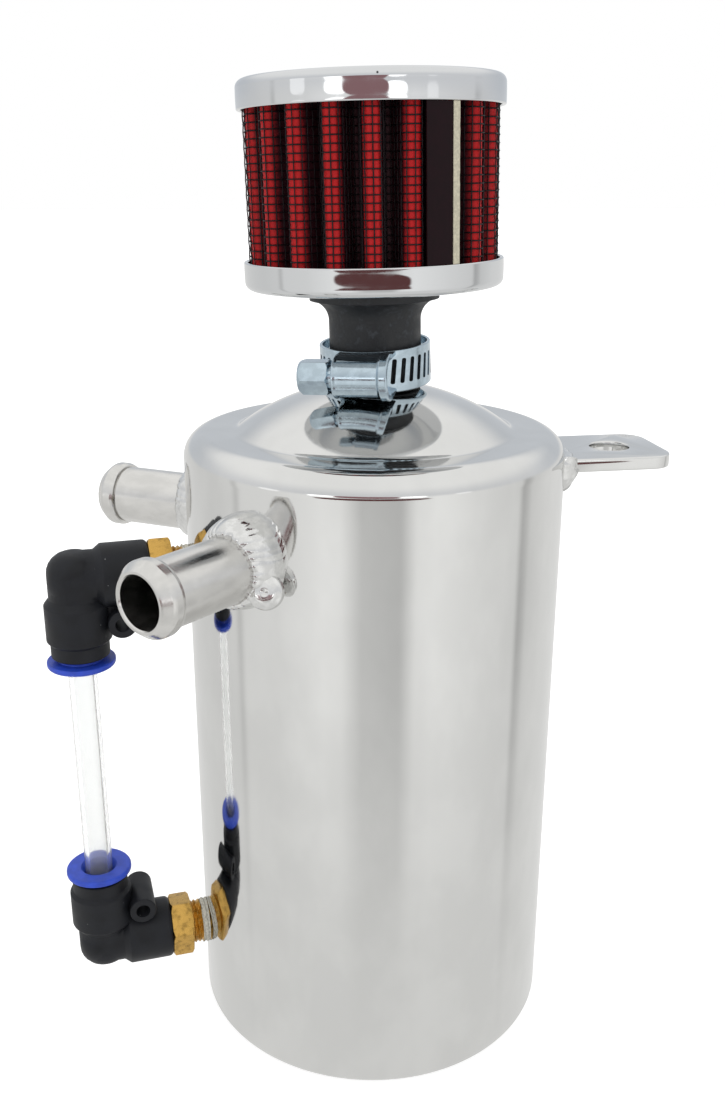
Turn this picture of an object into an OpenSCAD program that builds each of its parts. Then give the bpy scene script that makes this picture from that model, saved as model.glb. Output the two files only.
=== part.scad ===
// Oil catch can with a breather filter, a sight gauge, two hose tails and a side bracket.
// Millimetres. The origin is the centre of the base, on the surface it stands on. +Z is up.
// The bracket points along +X and the sight gauge is on the far side from it.

/* [Tank] */
// Outer diameter of the tank
tank_d = 80; // [76:0.5:90]
// Height of the flat ring round the dome
tank_h = 135.9; // [130:0.5:160]
// Thickness of the wall
wall_t = 2; // [1.5:0.1:3]
// Radius of the rounded top edge
shoulder_r = 5; // [4:0.25:7]
// Thickness of the base plate
base_t = 3; // [2:0.1:4]
// Radius of the rounded bottom edge
heel_r = 2.2; // [1:0.1:3]
// Thickness of the pressed top
top_t = 2; // [1.5:0.1:3]
// Diameter of the dome where it meets the flat ring
dome_d = 58.4; // [54:0.2:62]
// Height of the dome above the flat ring
dome_h = 9.6; // [8:0.1:12]
// Radius of the hollow corner round the dome
dome_fillet = 3; // [2:0.25:4]
// Depth that the top and the base reach down and up the wall before the weld
seam_drop = 1; // [0.5:0.25:3]

/* [Breather spigot] */
// Outer diameter of the spigot that the filter pushes on to
spigot_d = 12; // [10:0.25:13]
// Bore of the spigot
spigot_bore = 9.5; // [7:0.25:9.5]
// Height of the spigot above the dome
spigot_reach = 15; // [12:0.5:18]
// Length of the spigot inside the tank
spigot_inside = 4; // [2:0.5:8]

/* [Hose tails] */
// Outer diameter of a hose tail
port_d = 13; // [12:0.1:14]
// Bore of a hose tail
port_bore = 10; // [8:0.1:10.4]
// Diameter of the bead that holds the hose
port_bead_d = 14.6; // [14:0.1:16]
// Length of the bead
port_bead_len = 4.8; // [4:0.1:6]
// Radius of the bead's rounded nose
port_nose = 2; // [1:0.1:2.2]
// Length of a hose tail outside the wall
port_len = 27.4; // [20:0.2:40]
// Length of a hose tail inside the wall
port_inside = 3; // [1:0.5:8]
// Direction of the front hose tail, from the bracket
front_port_angle = 222.8; // [220:0.1:226]
// Distance of the front hose tail below the flat ring
front_port_drop = 19.2; // [17:0.1:24]
// Direction of the rear hose tail, from the bracket
rear_port_angle = 147.4; // [140:0.1:150]
// Distance of the rear hose tail below the flat ring
rear_port_drop = 21.5; // [17:0.1:24]

/* [Welds] */
// Radius of the rounded weld round a hose tail
weld_r = 3.3; // [2.5:0.1:3.8]
// Radius of the round end of a hose tail's weld
weld_end_r = 3; // [2.5:0.1:4]
// Direction in which the front hose tail's weld ends, round the tail from straight down
front_weld_end = 51; // [0:1:360]
// Direction in which the rear hose tail's weld ends
rear_weld_end = 220; // [0:1:360]
// Depth of the bracket's weld under the plate
bracket_weld_leg = 3.7; // [2:0.1:5]
// Reach of the bracket's weld from the wall
bracket_weld_out = 2.5; // [1.5:0.1:4]
// Width of the bracket's weld beside the plate
bracket_weld_side = 1.6; // [1:0.1:3]
// Height of the bracket's weld above the plate
bracket_weld_top = 0.6; // [0.2:0.1:1]
// Gap left round a piece that is welded into a hole
weld_fit = 0.05; // [0.02:0.01:0.2]

/* [Bracket] */
// Width of the bracket
bracket_w = 22.5; // [18:0.25:26]
// Thickness of the bracket
bracket_t = 2.8; // [2:0.1:4]
// Length of the bracket outside the wall
bracket_len = 23.5; // [20:0.25:40]
// Distance of the bracket's upper face below the flat ring
bracket_drop = 5.9; // [5.8:0.1:12]
// Corner radius of the bracket
bracket_corner = 5; // [1:0.25:6]
// Diameter of the bracket's hole
bracket_hole_d = 8.6; // [6:0.1:10]
// Distance from the wall to the bracket's hole
bracket_hole_out = 12.6; // [10:0.1:16]

/* [Sight gauge] */
// Direction of the sight gauge, from the bracket
gauge_angle = 186.6; // [180:0.1:190]
// Height of the lower stud
lower_stud_h = 21.3; // [19:0.1:26]
// Distance of the upper stud below the flat ring
upper_stud_drop = 27.4; // [25:0.1:40]
// Distance from the wall to the sight tube's middle
gauge_out = 23.6; // [23:0.1:32]
// Outer diameter of the sight tube
tube_d = 6; // [5:0.1:6.4]
// Bore of the sight tube
tube_bore = 4; // [3:0.1:4.4]
// Thread diameter of a stud
stud_thread_d = 9.7; // [9:0.1:10.5]
// Width across the flats of a stud's hexagon
stud_hex = 12; // [11.5:0.1:13]
// Slope on the corners of a stud's hexagon
hex_chamfer = 0.6; // [0.3:0.1:1]
// Length of a stud's hexagon
stud_hex_len = 4.6; // [3:0.1:6]
// Bore of a stud
stud_bore = 4.4; // [3:0.1:5]
// Diameter of the part of a stud inside the elbow
stud_shank_d = 7; // [6.6:0.1:8]
// Turn of the upper stud's hexagon
upper_hex_turn = 2; // [0:1:59]
// Turn of the lower stud's hexagon
lower_hex_turn = 42; // [0:1:59]
// Width of the sealing tape
tape_w = 1.6; // [1:0.1:3]
// Thickness of the sealing tape
tape_t = 0.25; // [0.1:0.05:0.4]
// Diameter of the threaded boss inside the wall
gauge_boss_d = 16; // [14:0.5:20]
// Length of the threaded boss inside the wall
gauge_boss_len = 7; // [4:0.5:10]

/* [Elbows] */
// Diameter of an elbow's two sleeves
sleeve_d = 13.4; // [13:0.1:15]
// Diameter of an elbow at its corner
corner_d = 11.2; // [10:0.1:12]
// Slope at the ends of an elbow's sleeves
sleeve_chamfer = 0.7; // [0.3:0.1:1.2]
// Radius that rounds the outside of an elbow's corner
corner_round = 4.4; // [2:0.1:5]
// Distance from an elbow's corner to the start of its sleeves
sleeve_start = 5.4; // [5:0.1:7]
// Length of the slope up to a sleeve
sleeve_slope = 1.4; // [0.5:0.1:2]
// Distance from an elbow's corner to the end of the stud's sleeve
stud_arm = 15; // [14:0.1:17]
// Distance from an elbow's corner to the end of its tube arm
tube_arm = 16.8; // [16:0.1:19]
// Length of the thinner end of the tube arm
tube_arm_end = 3; // [2:0.1:4]
// Diameter of the thinner end of the tube arm
tube_arm_end_d = 12; // [11.5:0.1:12.6]
// Diameter of the elbow's mounting lug
lug_d = 5.9; // [5:0.1:6.4]
// Hole through the lug
lug_hole_d = 3.1; // [2.5:0.1:3.6]
// Length of the lug
lug_len = 11.6; // [8:0.1:13]
// Distance of the lug from the tube's middle line
lug_x = 8.6; // [8:0.1:10]
// Distance of the lug from the stud's middle line
lug_z = 9.1; // [8:0.1:10]

/* [Release rings] */
// Diameter of a release ring's flange
ring_flange_d = 14.1; // [13.8:0.1:16]
// Thickness of a release ring's flange
ring_flange_t = 1.3; // [1:0.1:2]
// Diameter of a release ring's sleeve
ring_sleeve_d = 9.2; // [8.6:0.1:9.6]
// Length of a release ring's sleeve inside the elbow
ring_sleeve_len = 5.6; // [4:0.1:7]
// Gap between a release ring's flange and the elbow
ring_gap = 1; // [0.9:0.05:1.4]
// Rounding of a release ring's outer edge
ring_round = 0.6; // [0.3:0.1:0.7]
// Width and depth of the funnel that leads the tube into a release ring
ring_funnel = 0.6; // [0.3:0.1:1]
// Room in the elbow for the seal and the grab ring
grab_room = 3.6; // [3:0.1:4]
// Thickness of the seal round the tube
tube_seal_t = 2; // [1.5:0.1:2.2]
// Thickness of the grab ring
grab_ring_t = 0.3; // [0.2:0.05:0.5]
// Thickness of the swivel seal
swivel_seal_t = 1; // [0.8:0.1:1.2]
// Gap round a piece that slides or turns in another
running_gap = 0.15; // [0.08:0.01:0.25]

/* [Breather filter] */
// Lean of the filter from upright
filter_lean = 1.45; // [0:0.05:3]
// Diameter of the chrome caps
cap_d = 52; // [50:0.25:58]
// Sheet thickness of the chrome caps
cap_t = 0.8; // [0.5:0.1:1.2]
// Radius of a cap's rounded edge
cap_round = 1.6; // [1:0.1:2.2]
// Distance from the dome to the base cap's lower face
neck_len = 20.1; // [19:0.1:25]
// Depth of the base cap
base_cap_depth = 5.5; // [4:0.25:6]
// Depth of the top cap
top_cap_depth = 5.6; // [4:0.25:7]
// Height of the element that shows between the caps
element_h = 27.9; // [22:0.25:40]
// Thickness of the moulded ends that hold the element
potting_t = 2; // [1.5:0.1:2.5]
// Number of pleats
pleats = 20; // [16:1:22]
// Thickness of the pleated cloth
cloth_t = 0.9; // [0.6:0.05:1]
// Radius of a pleat's crest
crest_r = 1.75; // [1.5:0.05:1.9]
// Radius of the bottom of a valley
valley_r = 0.9; // [0.6:0.05:1.1]
// Distance from the cap's edge to the crests
element_inset = 1.3; // [1:0.1:2]
// Distance from a crest's centre to a valley's centre, outwards
pleat_depth = 3.8; // [3:0.1:4.5]
// Thickness of the wire screens
screen_t = 0.35; // [0.25:0.05:0.45]
// Rows of openings in the outer screen
screen_rows = 6; // [4:1:6]
// Wire beside an opening as a share of its row
screen_wire = 0.12; // [0.08:0.01:0.2]
// Direction of the first pleat
pleat_turn = 7.8; // [0:0.1:18]
// Direction where the lap of the seam starts
lap_from = 282; // [270:0.5:290]
// Width of the lap as an angle
lap_span = 12.2; // [8:0.1:18]
// Thickness of the lap
lap_t = 0.45; // [0.3:0.05:0.6]
// Width of the pale edge of the seam
strip_w = 1.4; // [0.8:0.1:1.6]
// Height of the pale edge above the lap
strip_proud = 0.15; // [0.05:0.05:0.4]

/* [Filter neck] */
// Outer diameter of the rubber neck
neck_d = 18.8; // [17:0.1:20]
// Radius of the flare under the filter
flare_r = 4.2; // [3:0.1:5]
// Height of the straight part between the flare and the base cap
flare_lip = 2.4; // [1:0.1:4]
// Diameter of the flare where it meets the base cap
flare_d = 26.4; // [24:0.1:27]
// Gap between the rubber and what it is pushed on to
rubber_fit = 0.03; // [0.01:0.01:0.1]
// Gap between the moulded ends and the caps
soft_fit = 0.2; // [0.1:0.05:0.4]
// Gap between the cloth and the screens
screen_fit = 0.02; // [0.01:0.01:0.05]

/* [Hose clamp] */
// Inside diameter of the band
band_d = 21.5; // [20.6:0.1:24]
// Thickness of the band
band_t = 0.65; // [0.5:0.05:0.8]
// Width of the band
band_w = 8.4; // [8:0.1:10]
// Distance from the dome's crown to the band's lower edge
band_gap = 0.6; // [0.5:0.05:2.5]
// Droop of the loose clamp on the side of its housing
band_droop = 3.5; // [0:0.5:4]
// Droop of the loose clamp towards its screw's head
band_roll = 2; // [0:0.5:3]
// Direction of the screw housing
housing_angle = 246.5; // [230:0.5:290]
// Length of the screw housing
housing_len = 9.4; // [8:0.1:12]
// Length of the rim at the housing's end
rim_len = 1.8; // [1.5:0.1:3]
// Outer radius of the screw housing
housing_r = 4.1; // [3.9:0.1:4.6]
// Thickness of the housing's sheet
housing_t = 0.7; // [0.5:0.05:0.9]
// Height of the housing's rim
rim_h = 0.6; // [0.3:0.1:1]
// Radius of the screw's worm
worm_r = 3; // [2.6:0.1:3]
// Gap between the band and the screw's worm
worm_gap = 0.3; // [0.2:0.05:0.5]
// Width across the flats of the screw's head
head_hex = 6.4; // [5.5:0.1:7]
// Length of the screw's head
head_len = 6.1; // [4:0.1:7]
// Slope on the corners of the screw's head
head_chamfer = 0.7; // [0.3:0.1:1]
// Length of the screw's collar between the head and the housing
collar_len = 1; // [0.6:0.1:1.4]
// Pitch of the band's slots as an angle
slot_step = 10.6; // [9:0.1:14]
// Width of a slot
slot_w = 1; // [0.7:0.1:1.2]
// Height of a slot
slot_h = 5; // [4:0.1:6]
// Slant of a slot
slot_slant = -7; // [-10:0.5:10]

/* [Hidden] */
$fn = 96;

// Amount that a cut runs past the face it opens
past = 1;
tank_r = tank_d / 2;
inner_r = tank_r - wall_t;
low_seam = base_t + seam_drop;
high_seam = tank_h - shoulder_r - seam_drop;
dome_foot = dome_d / 2;
dome_sphere = (dome_foot * dome_foot + dome_h * dome_h) / (2 * dome_h);
dome_centre = tank_h + dome_h - dome_sphere;
// The hollow corner's circle touches the flat ring and the dome
fillet_z = tank_h + dome_fillet;
fillet_x = sqrt(pow(dome_sphere + dome_fillet, 2) - pow(fillet_z - dome_centre, 2));
fillet_share = dome_sphere / (dome_sphere + dome_fillet);
// Flat on top of the dome that the spigot stands on
crown_r = spigot_d / 2 + 1.5;
crown_z = dome_centre + sqrt(dome_sphere * dome_sphere - crown_r * crown_r);
spigot_top = crown_z + spigot_reach;

port_r = port_d / 2;
port_start = inner_r - port_inside;
port_reach = tank_r + port_len;
front_port_h = tank_h - front_port_drop;
rear_port_h = tank_h - rear_port_drop;
weld_ring_r = port_r - weld_r * 0.15;

bracket_h = tank_h - bracket_drop;
bracket_low = bracket_h - bracket_t;
bracket_reach = tank_r + bracket_len;
bracket_hole_reach = tank_r + bracket_hole_out;

gauge_reach = tank_r + gauge_out;
upper_stud_h = tank_h - upper_stud_drop;
stud_thread_r = stud_thread_d / 2;
hex_start = gauge_reach - stud_arm - stud_hex_len;
// Where the tube's socket and the seat for its seal start, from the elbow's corner
socket_z = sleeve_start - 1;
collar_z = tube_arm - ring_sleeve_len - grab_room;
// Middle of the swivel seal, from the elbow's corner
swivel_z = stud_arm - 3 * swivel_seal_t;

base_cap_h = crown_z + neck_len;
band_h = crown_z + band_gap + band_w / 2;
lean_pivot = crown_z + neck_len - flare_lip - flare_r - 2;
// The filter leans along the direction at a right angle to this one
lean_axis = 79.5;
element_z = base_cap_h + base_cap_depth;
element_top = element_z + element_h;
cap_top = element_top + top_cap_depth;
crest_at = cap_d / 2 - element_inset - crest_r;
valley_at = crest_at - pleat_depth;
crest_out = crest_at + crest_r;
// The lap lies over one pleat, outside the screen
lap_in = crest_out + screen_t + weld_fit;
flange_r = cap_d / 2 - cap_t - soft_fit;
element_foot = base_cap_h + cap_t + potting_t;
element_head = cap_top - cap_t - potting_t;

neck_r = neck_d / 2;
band_r = band_d / 2;
// The loose band hangs against the neck under its housing, clear of the neck's lean and of its own droop
lean_room = (lean_pivot - crown_z) * tan(filter_lean) + band_w / 2 * tan(band_droop + band_roll);
band_shift = -max(0, band_r - neck_r - rubber_fit - lean_room);
screw_at = band_r + band_t + worm_gap + worm_r;
head_start = housing_len / 2 + collar_len;

// Rounded outside corner of a profile, cut from a square corner at x, y
module corner_cut(x, y, r, down = false) {
    side = down ? -1 : 1;
    difference() {
        translate([x - r, down ? y - past : y - r])
            square([r + past, r + past]);
        translate([x - r, y - side * r])
            circle(r);
    }
}

// Places a piece that is drawn along +Z so that it points outwards from the tank
module outwards(angle, height) {
    translate([0, 0, height])
        rotate([0, 0, angle])
            rotate([0, 90, 0])
                children();
}

// The tank
module tank_solid() {
    cylinder(r = tank_r, h = tank_h + past);
}

module tank_wall() {
    color([0.80, 0.81, 0.80])
        difference() {
            translate([0, 0, low_seam])
                cylinder(r = tank_r, h = high_seam - low_seam);
            translate([0, 0, low_seam - past])
                cylinder(r = inner_r, h = high_seam - low_seam + 2 * past);
            outwards(front_port_angle, front_port_h)
                cylinder(r = port_r + weld_fit, h = tank_d);
            outwards(rear_port_angle, rear_port_h)
                cylinder(r = port_r + weld_fit, h = tank_d);
            for (height = [lower_stud_h, upper_stud_h])
                outwards(gauge_angle, height)
                    cylinder(r = stud_thread_r + weld_fit, h = tank_d);
        }
}

module top_outline() {
    difference() {
        union() {
            difference() {
                translate([0, high_seam])
                    square([tank_r, tank_h - high_seam]);
                corner_cut(tank_r, tank_h, shoulder_r);
            }
            intersection() {
                translate([0, dome_centre])
                    circle(dome_sphere);
                translate([0, tank_h - top_t])
                    square([tank_r, dome_h + 2 * top_t]);
            }
            polygon([
                [dome_foot - past, tank_h - past],
                [fillet_x, tank_h - past],
                [fillet_x, tank_h],
                [fillet_x * fillet_share, dome_centre + (fillet_z - dome_centre) * fillet_share],
                [dome_foot - past, tank_h]
            ]);
        }
        translate([fillet_x, fillet_z])
            circle(dome_fillet);
        // The inside follows the outside, one sheet lower
        difference() {
            translate([0, high_seam - past])
                square([inner_r, tank_h - top_t - high_seam + past]);
            corner_cut(inner_r, tank_h - top_t, shoulder_r - top_t);
        }
        intersection() {
            translate([0, dome_centre])
                circle(dome_sphere - top_t);
            translate([0, tank_h - top_t - past])
                square([tank_r, dome_h + 2 * top_t]);
        }
        translate([0, crown_z])
            square([crown_r + past, dome_h]);
        translate([0, crown_z - dome_h])
            square([spigot_d / 2 + weld_fit, 2 * dome_h]);
        translate([-tank_r, 0])
            square([tank_r, 2 * tank_h]);
    }
}

module tank_top() {
    color([0.82, 0.83, 0.82])
        rotate_extrude()
            top_outline();
}

module tank_base() {
    color([0.80, 0.81, 0.80])
        rotate_extrude()
            difference() {
                square([tank_r, low_seam]);
                corner_cut(tank_r, 0, heel_r, down = true);
                translate([0, base_t])
                    square([inner_r, low_seam]);
            }
}

module breather_spigot() {
    color([0.78, 0.79, 0.78])
        difference() {
            translate([0, 0, crown_z - spigot_inside])
                cylinder(d = spigot_d, h = spigot_reach + spigot_inside);
            translate([0, 0, crown_z - spigot_inside - past])
                cylinder(d = spigot_bore, h = spigot_reach + spigot_inside + 2 * past);
        }
}

// The hose tails
module port_outline() {
    difference() {
        union() {
            translate([0, port_start])
                square([port_r, port_reach - port_start]);
            translate([0, port_reach - port_bead_len])
                square([port_bead_d / 2, port_bead_len]);
        }
        corner_cut(port_bead_d / 2, port_reach, port_nose);
        corner_cut(port_bead_d / 2, port_reach - port_bead_len, (port_bead_d - port_d) / 2, down = true);
        translate([-past, port_start - past])
            square([port_bore / 2 + past, port_reach]);
    }
}

module port(angle, height) {
    color([0.80, 0.80, 0.78])
        outwards(angle, height)
            rotate_extrude()
                port_outline();
}

module front_port() {
    port(front_port_angle, front_port_h);
}

module rear_port() {
    port(rear_port_angle, rear_port_h);
}

// A rounded bead of weld in the corner between the wall and a hose tail
module port_weld(angle, height, end_angle) {
    color([0.86, 0.86, 0.85])
        difference() {
            union() {
                outwards(angle, height)
                    rotate_extrude()
                        translate([weld_ring_r, tank_r + weld_r / 4])
                            circle(weld_r, $fn = 48);
                outwards(angle, height)
                    rotate([0, 0, end_angle])
                        translate([port_r + weld_end_r / 8, 0, tank_r + weld_end_r / 8])
                            sphere(weld_end_r, $fn = 48);
            }
            tank_solid();
            outwards(angle, height)
                cylinder(r = port_r + weld_fit, h = tank_d);
        }
}

module front_port_weld() {
    port_weld(front_port_angle, front_port_h, front_weld_end);
}

module rear_port_weld() {
    port_weld(rear_port_angle, rear_port_h, rear_weld_end);
}

// The bracket
module bracket_plate() {
    edge = bracket_w / 2 - bracket_corner;
    translate([0, 0, bracket_low])
        linear_extrude(bracket_t)
            union() {
                translate([0, -bracket_w / 2])
                    square([bracket_reach - bracket_corner, bracket_w]);
                translate([0, -edge])
                    square([bracket_reach, 2 * edge]);
                for (side = [-1, 1])
                    translate([bracket_reach - bracket_corner, side * edge])
                        circle(bracket_corner);
            }
}

module bracket() {
    color([0.82, 0.83, 0.82])
        difference() {
            bracket_plate();
            tank_solid();
            translate([bracket_hole_reach, 0, bracket_low - past])
                cylinder(d = bracket_hole_d, h = bracket_t + 2 * past);
        }
}

// The weld wraps the bracket's root, deepest under the plate
module bracket_weld() {
    half = asin((bracket_w / 2 + bracket_weld_side) / tank_r);
    low = bracket_low - bracket_weld_leg;
    top = bracket_h + bracket_weld_top;
    color([0.84, 0.85, 0.84])
        difference() {
            rotate([0, 0, -half])
                rotate_extrude(angle = 2 * half)
                    polygon([
                        [tank_r - past, low],
                        [tank_r, low],
                        [tank_r + bracket_weld_out, bracket_low],
                        [tank_r + bracket_weld_out / 2, bracket_h],
                        [tank_r, top],
                        [tank_r - past, top]
                    ]);
            tank_solid();
            translate([0, -bracket_w / 2, bracket_low])
                cube([bracket_reach, bracket_w, bracket_t]);
        }
}

// The sight gauge is drawn as its lower fitting, and the upper one is turned over about its stud
module upper_fitting() {
    translate([0, 0, upper_stud_h])
        rotate([0, 0, gauge_angle])
            rotate([180, 0, 0])
                children();
}

module lower_fitting() {
    translate([0, 0, lower_stud_h])
        rotate([0, 0, gauge_angle])
            children();
}

// Turns a piece drawn along +Z to point outwards from the tank along the stud
module along_stud() {
    rotate([0, 90, 0])
        children();
}

// Moves a piece to the elbow's corner, with -X pointing back to the tank
module at_corner() {
    translate([gauge_reach, 0, 0])
        children();
}

module gauge_boss() {
    color([0.70, 0.71, 0.70])
        difference() {
            intersection() {
                along_stud()
                    translate([0, 0, inner_r - gauge_boss_len])
                        cylinder(d = gauge_boss_d, h = 2 * gauge_boss_len);
                translate([0, 0, -tank_r])
                    cylinder(r = inner_r, h = tank_d);
            }
            along_stud()
                cylinder(r = stud_thread_r + weld_fit, h = tank_d);
        }
}

module stud(turn) {
    shank_end = gauge_reach - sleeve_start;
    thread_start = inner_r - gauge_boss_len + 1;
    hex_r = stud_hex / 2 / cos(30);
    slope = hex_r - hex_chamfer;
    color([0.74, 0.58, 0.27])
        along_stud()
            difference() {
                union() {
                    translate([0, 0, thread_start])
                        cylinder(r = stud_thread_r, h = hex_start - thread_start);
                    translate([0, 0, hex_start])
                        intersection() {
                            rotate([0, 0, turn])
                                cylinder(r = hex_r, h = stud_hex_len, $fn = 6);
                            cylinder(r1 = slope, r2 = slope + stud_hex, h = stud_hex);
                            translate([0, 0, stud_hex_len - stud_hex])
                                cylinder(r1 = slope + stud_hex, r2 = slope, h = stud_hex);
                        }
                    translate([0, 0, hex_start])
                        cylinder(d = stud_shank_d, h = shank_end - hex_start);
                }
                translate([0, 0, thread_start - past])
                    cylinder(d = stud_bore, h = gauge_reach);
            }
}

module thread_tape() {
    color([0.88, 0.87, 0.82])
        difference() {
            along_stud()
                translate([0, 0, tank_r - past])
                    cylinder(r = stud_thread_r + tape_t, h = tape_w + past);
            translate([0, 0, -tank_r])
                cylinder(r = tank_r + weld_fit, h = tank_d);
            along_stud()
                cylinder(r = stud_thread_r, h = tank_d);
        }
}

// One arm of an elbow, along +Z from its corner
module arm(reach, end_len, end_d) {
    round_z = corner_d / 2 - corner_round;
    rotate_extrude()
        difference() {
            union() {
                translate([0, -corner_d / 2])
                    square([corner_d / 2, sleeve_start + corner_d / 2]);
                polygon([
                    [0, sleeve_start - sleeve_slope],
                    [corner_d / 2, sleeve_start - sleeve_slope],
                    [sleeve_d / 2, sleeve_start],
                    [sleeve_d / 2, reach - end_len - sleeve_chamfer],
                    [end_d / 2, reach - end_len],
                    [end_d / 2, reach],
                    [0, reach]
                ]);
            }
            corner_cut(corner_d / 2, -corner_d / 2, corner_round, down = true);
        }
}

module elbow_outside() {
    arm(tube_arm, tube_arm_end, tube_arm_end_d);
    rotate([0, -90, 0])
        arm(stud_arm, 0, sleeve_d - 2 * sleeve_chamfer);
    translate([-lug_x, 0, lug_z])
        rotate([90, 0, 0])
            cylinder(d = lug_d, h = lug_len, center = true);
    translate([-lug_x, -lug_len / 4, 0])
        cube([lug_x, lug_len / 2, lug_z]);
}

module elbow() {
    color([0.15, 0.16, 0.17])
        at_corner()
            difference() {
                elbow_outside();
                // Passage for the oil
                cylinder(d = tube_bore, h = tube_arm);
                rotate([0, -90, 0])
                    cylinder(d = tube_bore, h = stud_arm);
                // Socket for the tube
                translate([0, 0, socket_z])
                    cylinder(r = tube_d / 2 + weld_fit, h = tube_arm);
                // Seat for the seal, the grab ring and the release ring
                translate([0, 0, collar_z])
                    cylinder(r = ring_sleeve_d / 2 + running_gap, h = tube_arm);
                // Seat for the stud
                rotate([0, -90, 0])
                    translate([0, 0, sleeve_start])
                        cylinder(r = stud_shank_d / 2 + weld_fit, h = stud_arm);
                // Groove for the swivel seal
                rotate([0, -90, 0])
                    translate([0, 0, swivel_z - swivel_seal_t])
                        cylinder(r = stud_shank_d / 2 + swivel_seal_t, h = 2 * swivel_seal_t);
                translate([-lug_x, 0, lug_z])
                    rotate([90, 0, 0])
                        cylinder(d = lug_hole_d, h = 2 * lug_len, center = true);
            }
}

module release_ring() {
    flange_z = tube_arm + ring_gap;
    flange_top = flange_z + ring_flange_t;
    bore_r = tube_d / 2 + running_gap;
    color([0.16, 0.27, 0.74])
        at_corner()
            rotate_extrude()
                difference() {
                    union() {
                        translate([0, flange_z - ring_gap - ring_sleeve_len])
                            square([ring_sleeve_d / 2, ring_gap + ring_sleeve_len + past / 2]);
                        translate([0, flange_z])
                            square([ring_flange_d / 2, ring_flange_t]);
                    }
                    corner_cut(ring_flange_d / 2, flange_top, ring_round);
                    translate([-past, 0])
                        square([bore_r + past, 2 * tube_arm]);
                    // Funnel that leads the tube in
                    polygon([
                        [0, flange_top - ring_funnel],
                        [bore_r, flange_top - ring_funnel],
                        [bore_r + 2 * ring_funnel, flange_top + ring_funnel],
                        [0, flange_top + ring_funnel]
                    ]);
                }
}

// Toothed steel ring that holds the tube
module grab_ring() {
    tooth = tube_d / 10;
    color([0.72, 0.73, 0.74])
        at_corner()
            translate([0, 0, collar_z + tube_seal_t + grab_ring_t])
                difference() {
                    cylinder(r = ring_sleeve_d / 2 + running_gap, h = grab_ring_t);
                    translate([0, 0, -past])
                        cylinder(r = tube_d / 2, h = grab_ring_t + 2 * past);
                    for (i = [0 : 7])
                        rotate([0, 0, i * 45])
                            translate([0, -tooth / 2, -past])
                                cube([tube_d / 2 + tooth, tooth, grab_ring_t + 2 * past]);
                }
}

module tube_seal() {
    color([0.10, 0.10, 0.10])
        at_corner()
            translate([0, 0, collar_z])
                difference() {
                    cylinder(r = ring_sleeve_d / 2 + running_gap, h = tube_seal_t);
                    translate([0, 0, -past])
                        cylinder(r = tube_d / 2, h = tube_seal_t + 2 * past);
                }
}

module swivel_seal() {
    color([0.10, 0.10, 0.10])
        at_corner()
            rotate([0, -90, 0])
                translate([0, 0, swivel_z])
                    rotate_extrude()
                        translate([(stud_shank_d + swivel_seal_t) / 2, 0])
                            circle(swivel_seal_t / 2, $fn = 32);
}

module upper_gauge_boss() { upper_fitting() gauge_boss(); }
module lower_gauge_boss() { lower_fitting() gauge_boss(); }
module upper_stud() { upper_fitting() stud(upper_hex_turn); }
module lower_stud() { lower_fitting() stud(lower_hex_turn); }
module upper_thread_tape() { upper_fitting() thread_tape(); }
module lower_thread_tape() { lower_fitting() thread_tape(); }
module upper_elbow() { upper_fitting() elbow(); }
module lower_elbow() { lower_fitting() elbow(); }
module upper_release_ring() { upper_fitting() release_ring(); }
module lower_release_ring() { lower_fitting() release_ring(); }
module upper_grab_ring() { upper_fitting() grab_ring(); }
module lower_grab_ring() { lower_fitting() grab_ring(); }
module upper_tube_seal() { upper_fitting() tube_seal(); }
module lower_tube_seal() { lower_fitting() tube_seal(); }
module upper_swivel_seal() { upper_fitting() swivel_seal(); }
module lower_swivel_seal() { lower_fitting() swivel_seal(); }

module sight_tube() {
    low = lower_stud_h + socket_z;
    high = upper_stud_h - socket_z;
    color([0.86, 0.87, 0.86, 0.5])
        rotate([0, 0, gauge_angle])
            translate([gauge_reach, 0, low])
                difference() {
                    cylinder(d = tube_d, h = high - low);
                    translate([0, 0, -past])
                        cylinder(d = tube_bore, h = high - low + 2 * past);
                }
}

// The breather filter, which leans a little on its rubber neck
module leaning() {
    translate([0, 0, lean_pivot])
        rotate([0, 0, lean_axis])
            rotate([-filter_lean, 0, 0])
                rotate([0, 0, -lean_axis])
                    translate([0, 0, -lean_pivot])
                        children();
}

// Moulded disc that fits the rounded inside of a cap
module potting_outline() {
    difference() {
        square([flange_r, potting_t]);
        corner_cut(flange_r, 0, cap_round - cap_t, down = true);
    }
}

module filter_neck() {
    shelf = base_cap_h + cap_t;
    flare_low = base_cap_h - flare_lip - flare_r;
    color([0.16, 0.17, 0.18])
        difference() {
            leaning()
                rotate_extrude()
                    difference() {
                        union() {
                            translate([0, crown_z + soft_fit])
                                square([neck_r, shelf - crown_z]);
                            translate([0, flare_low])
                                square([flare_d / 2, shelf - flare_low]);
                            translate([0, shelf])
                                potting_outline();
                        }
                        translate([neck_r + flare_r, flare_low])
                            circle(flare_r);
                        translate([neck_r, flare_low - past])
                            square([flare_d, past]);
                    }
            // Below the spigot's top the bore is upright, and above it the bore leans with the filter
            cylinder(r = spigot_d / 2 + rubber_fit, h = spigot_top + past);
            leaning()
                translate([0, 0, spigot_top - past])
                    cylinder(r = spigot_bore / 2, h = element_z - spigot_top + 2 * past);
            // Foot that sits on the crown of the dome
            translate([0, 0, crown_z - 2 * past])
                cylinder(r = tank_r, h = 2 * past);
        }
}

module cap_cup(depth, hole_r) {
    cap_r = cap_d / 2;
    rotate_extrude()
        difference() {
            square([cap_r, depth]);
            corner_cut(cap_r, 0, cap_round, down = true);
            difference() {
                translate([0, cap_t])
                    square([cap_r - cap_t, depth]);
                corner_cut(cap_r - cap_t, cap_t, cap_round - cap_t, down = true);
            }
            translate([-past, -past])
                square([hole_r + past, depth]);
        }
}

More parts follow.
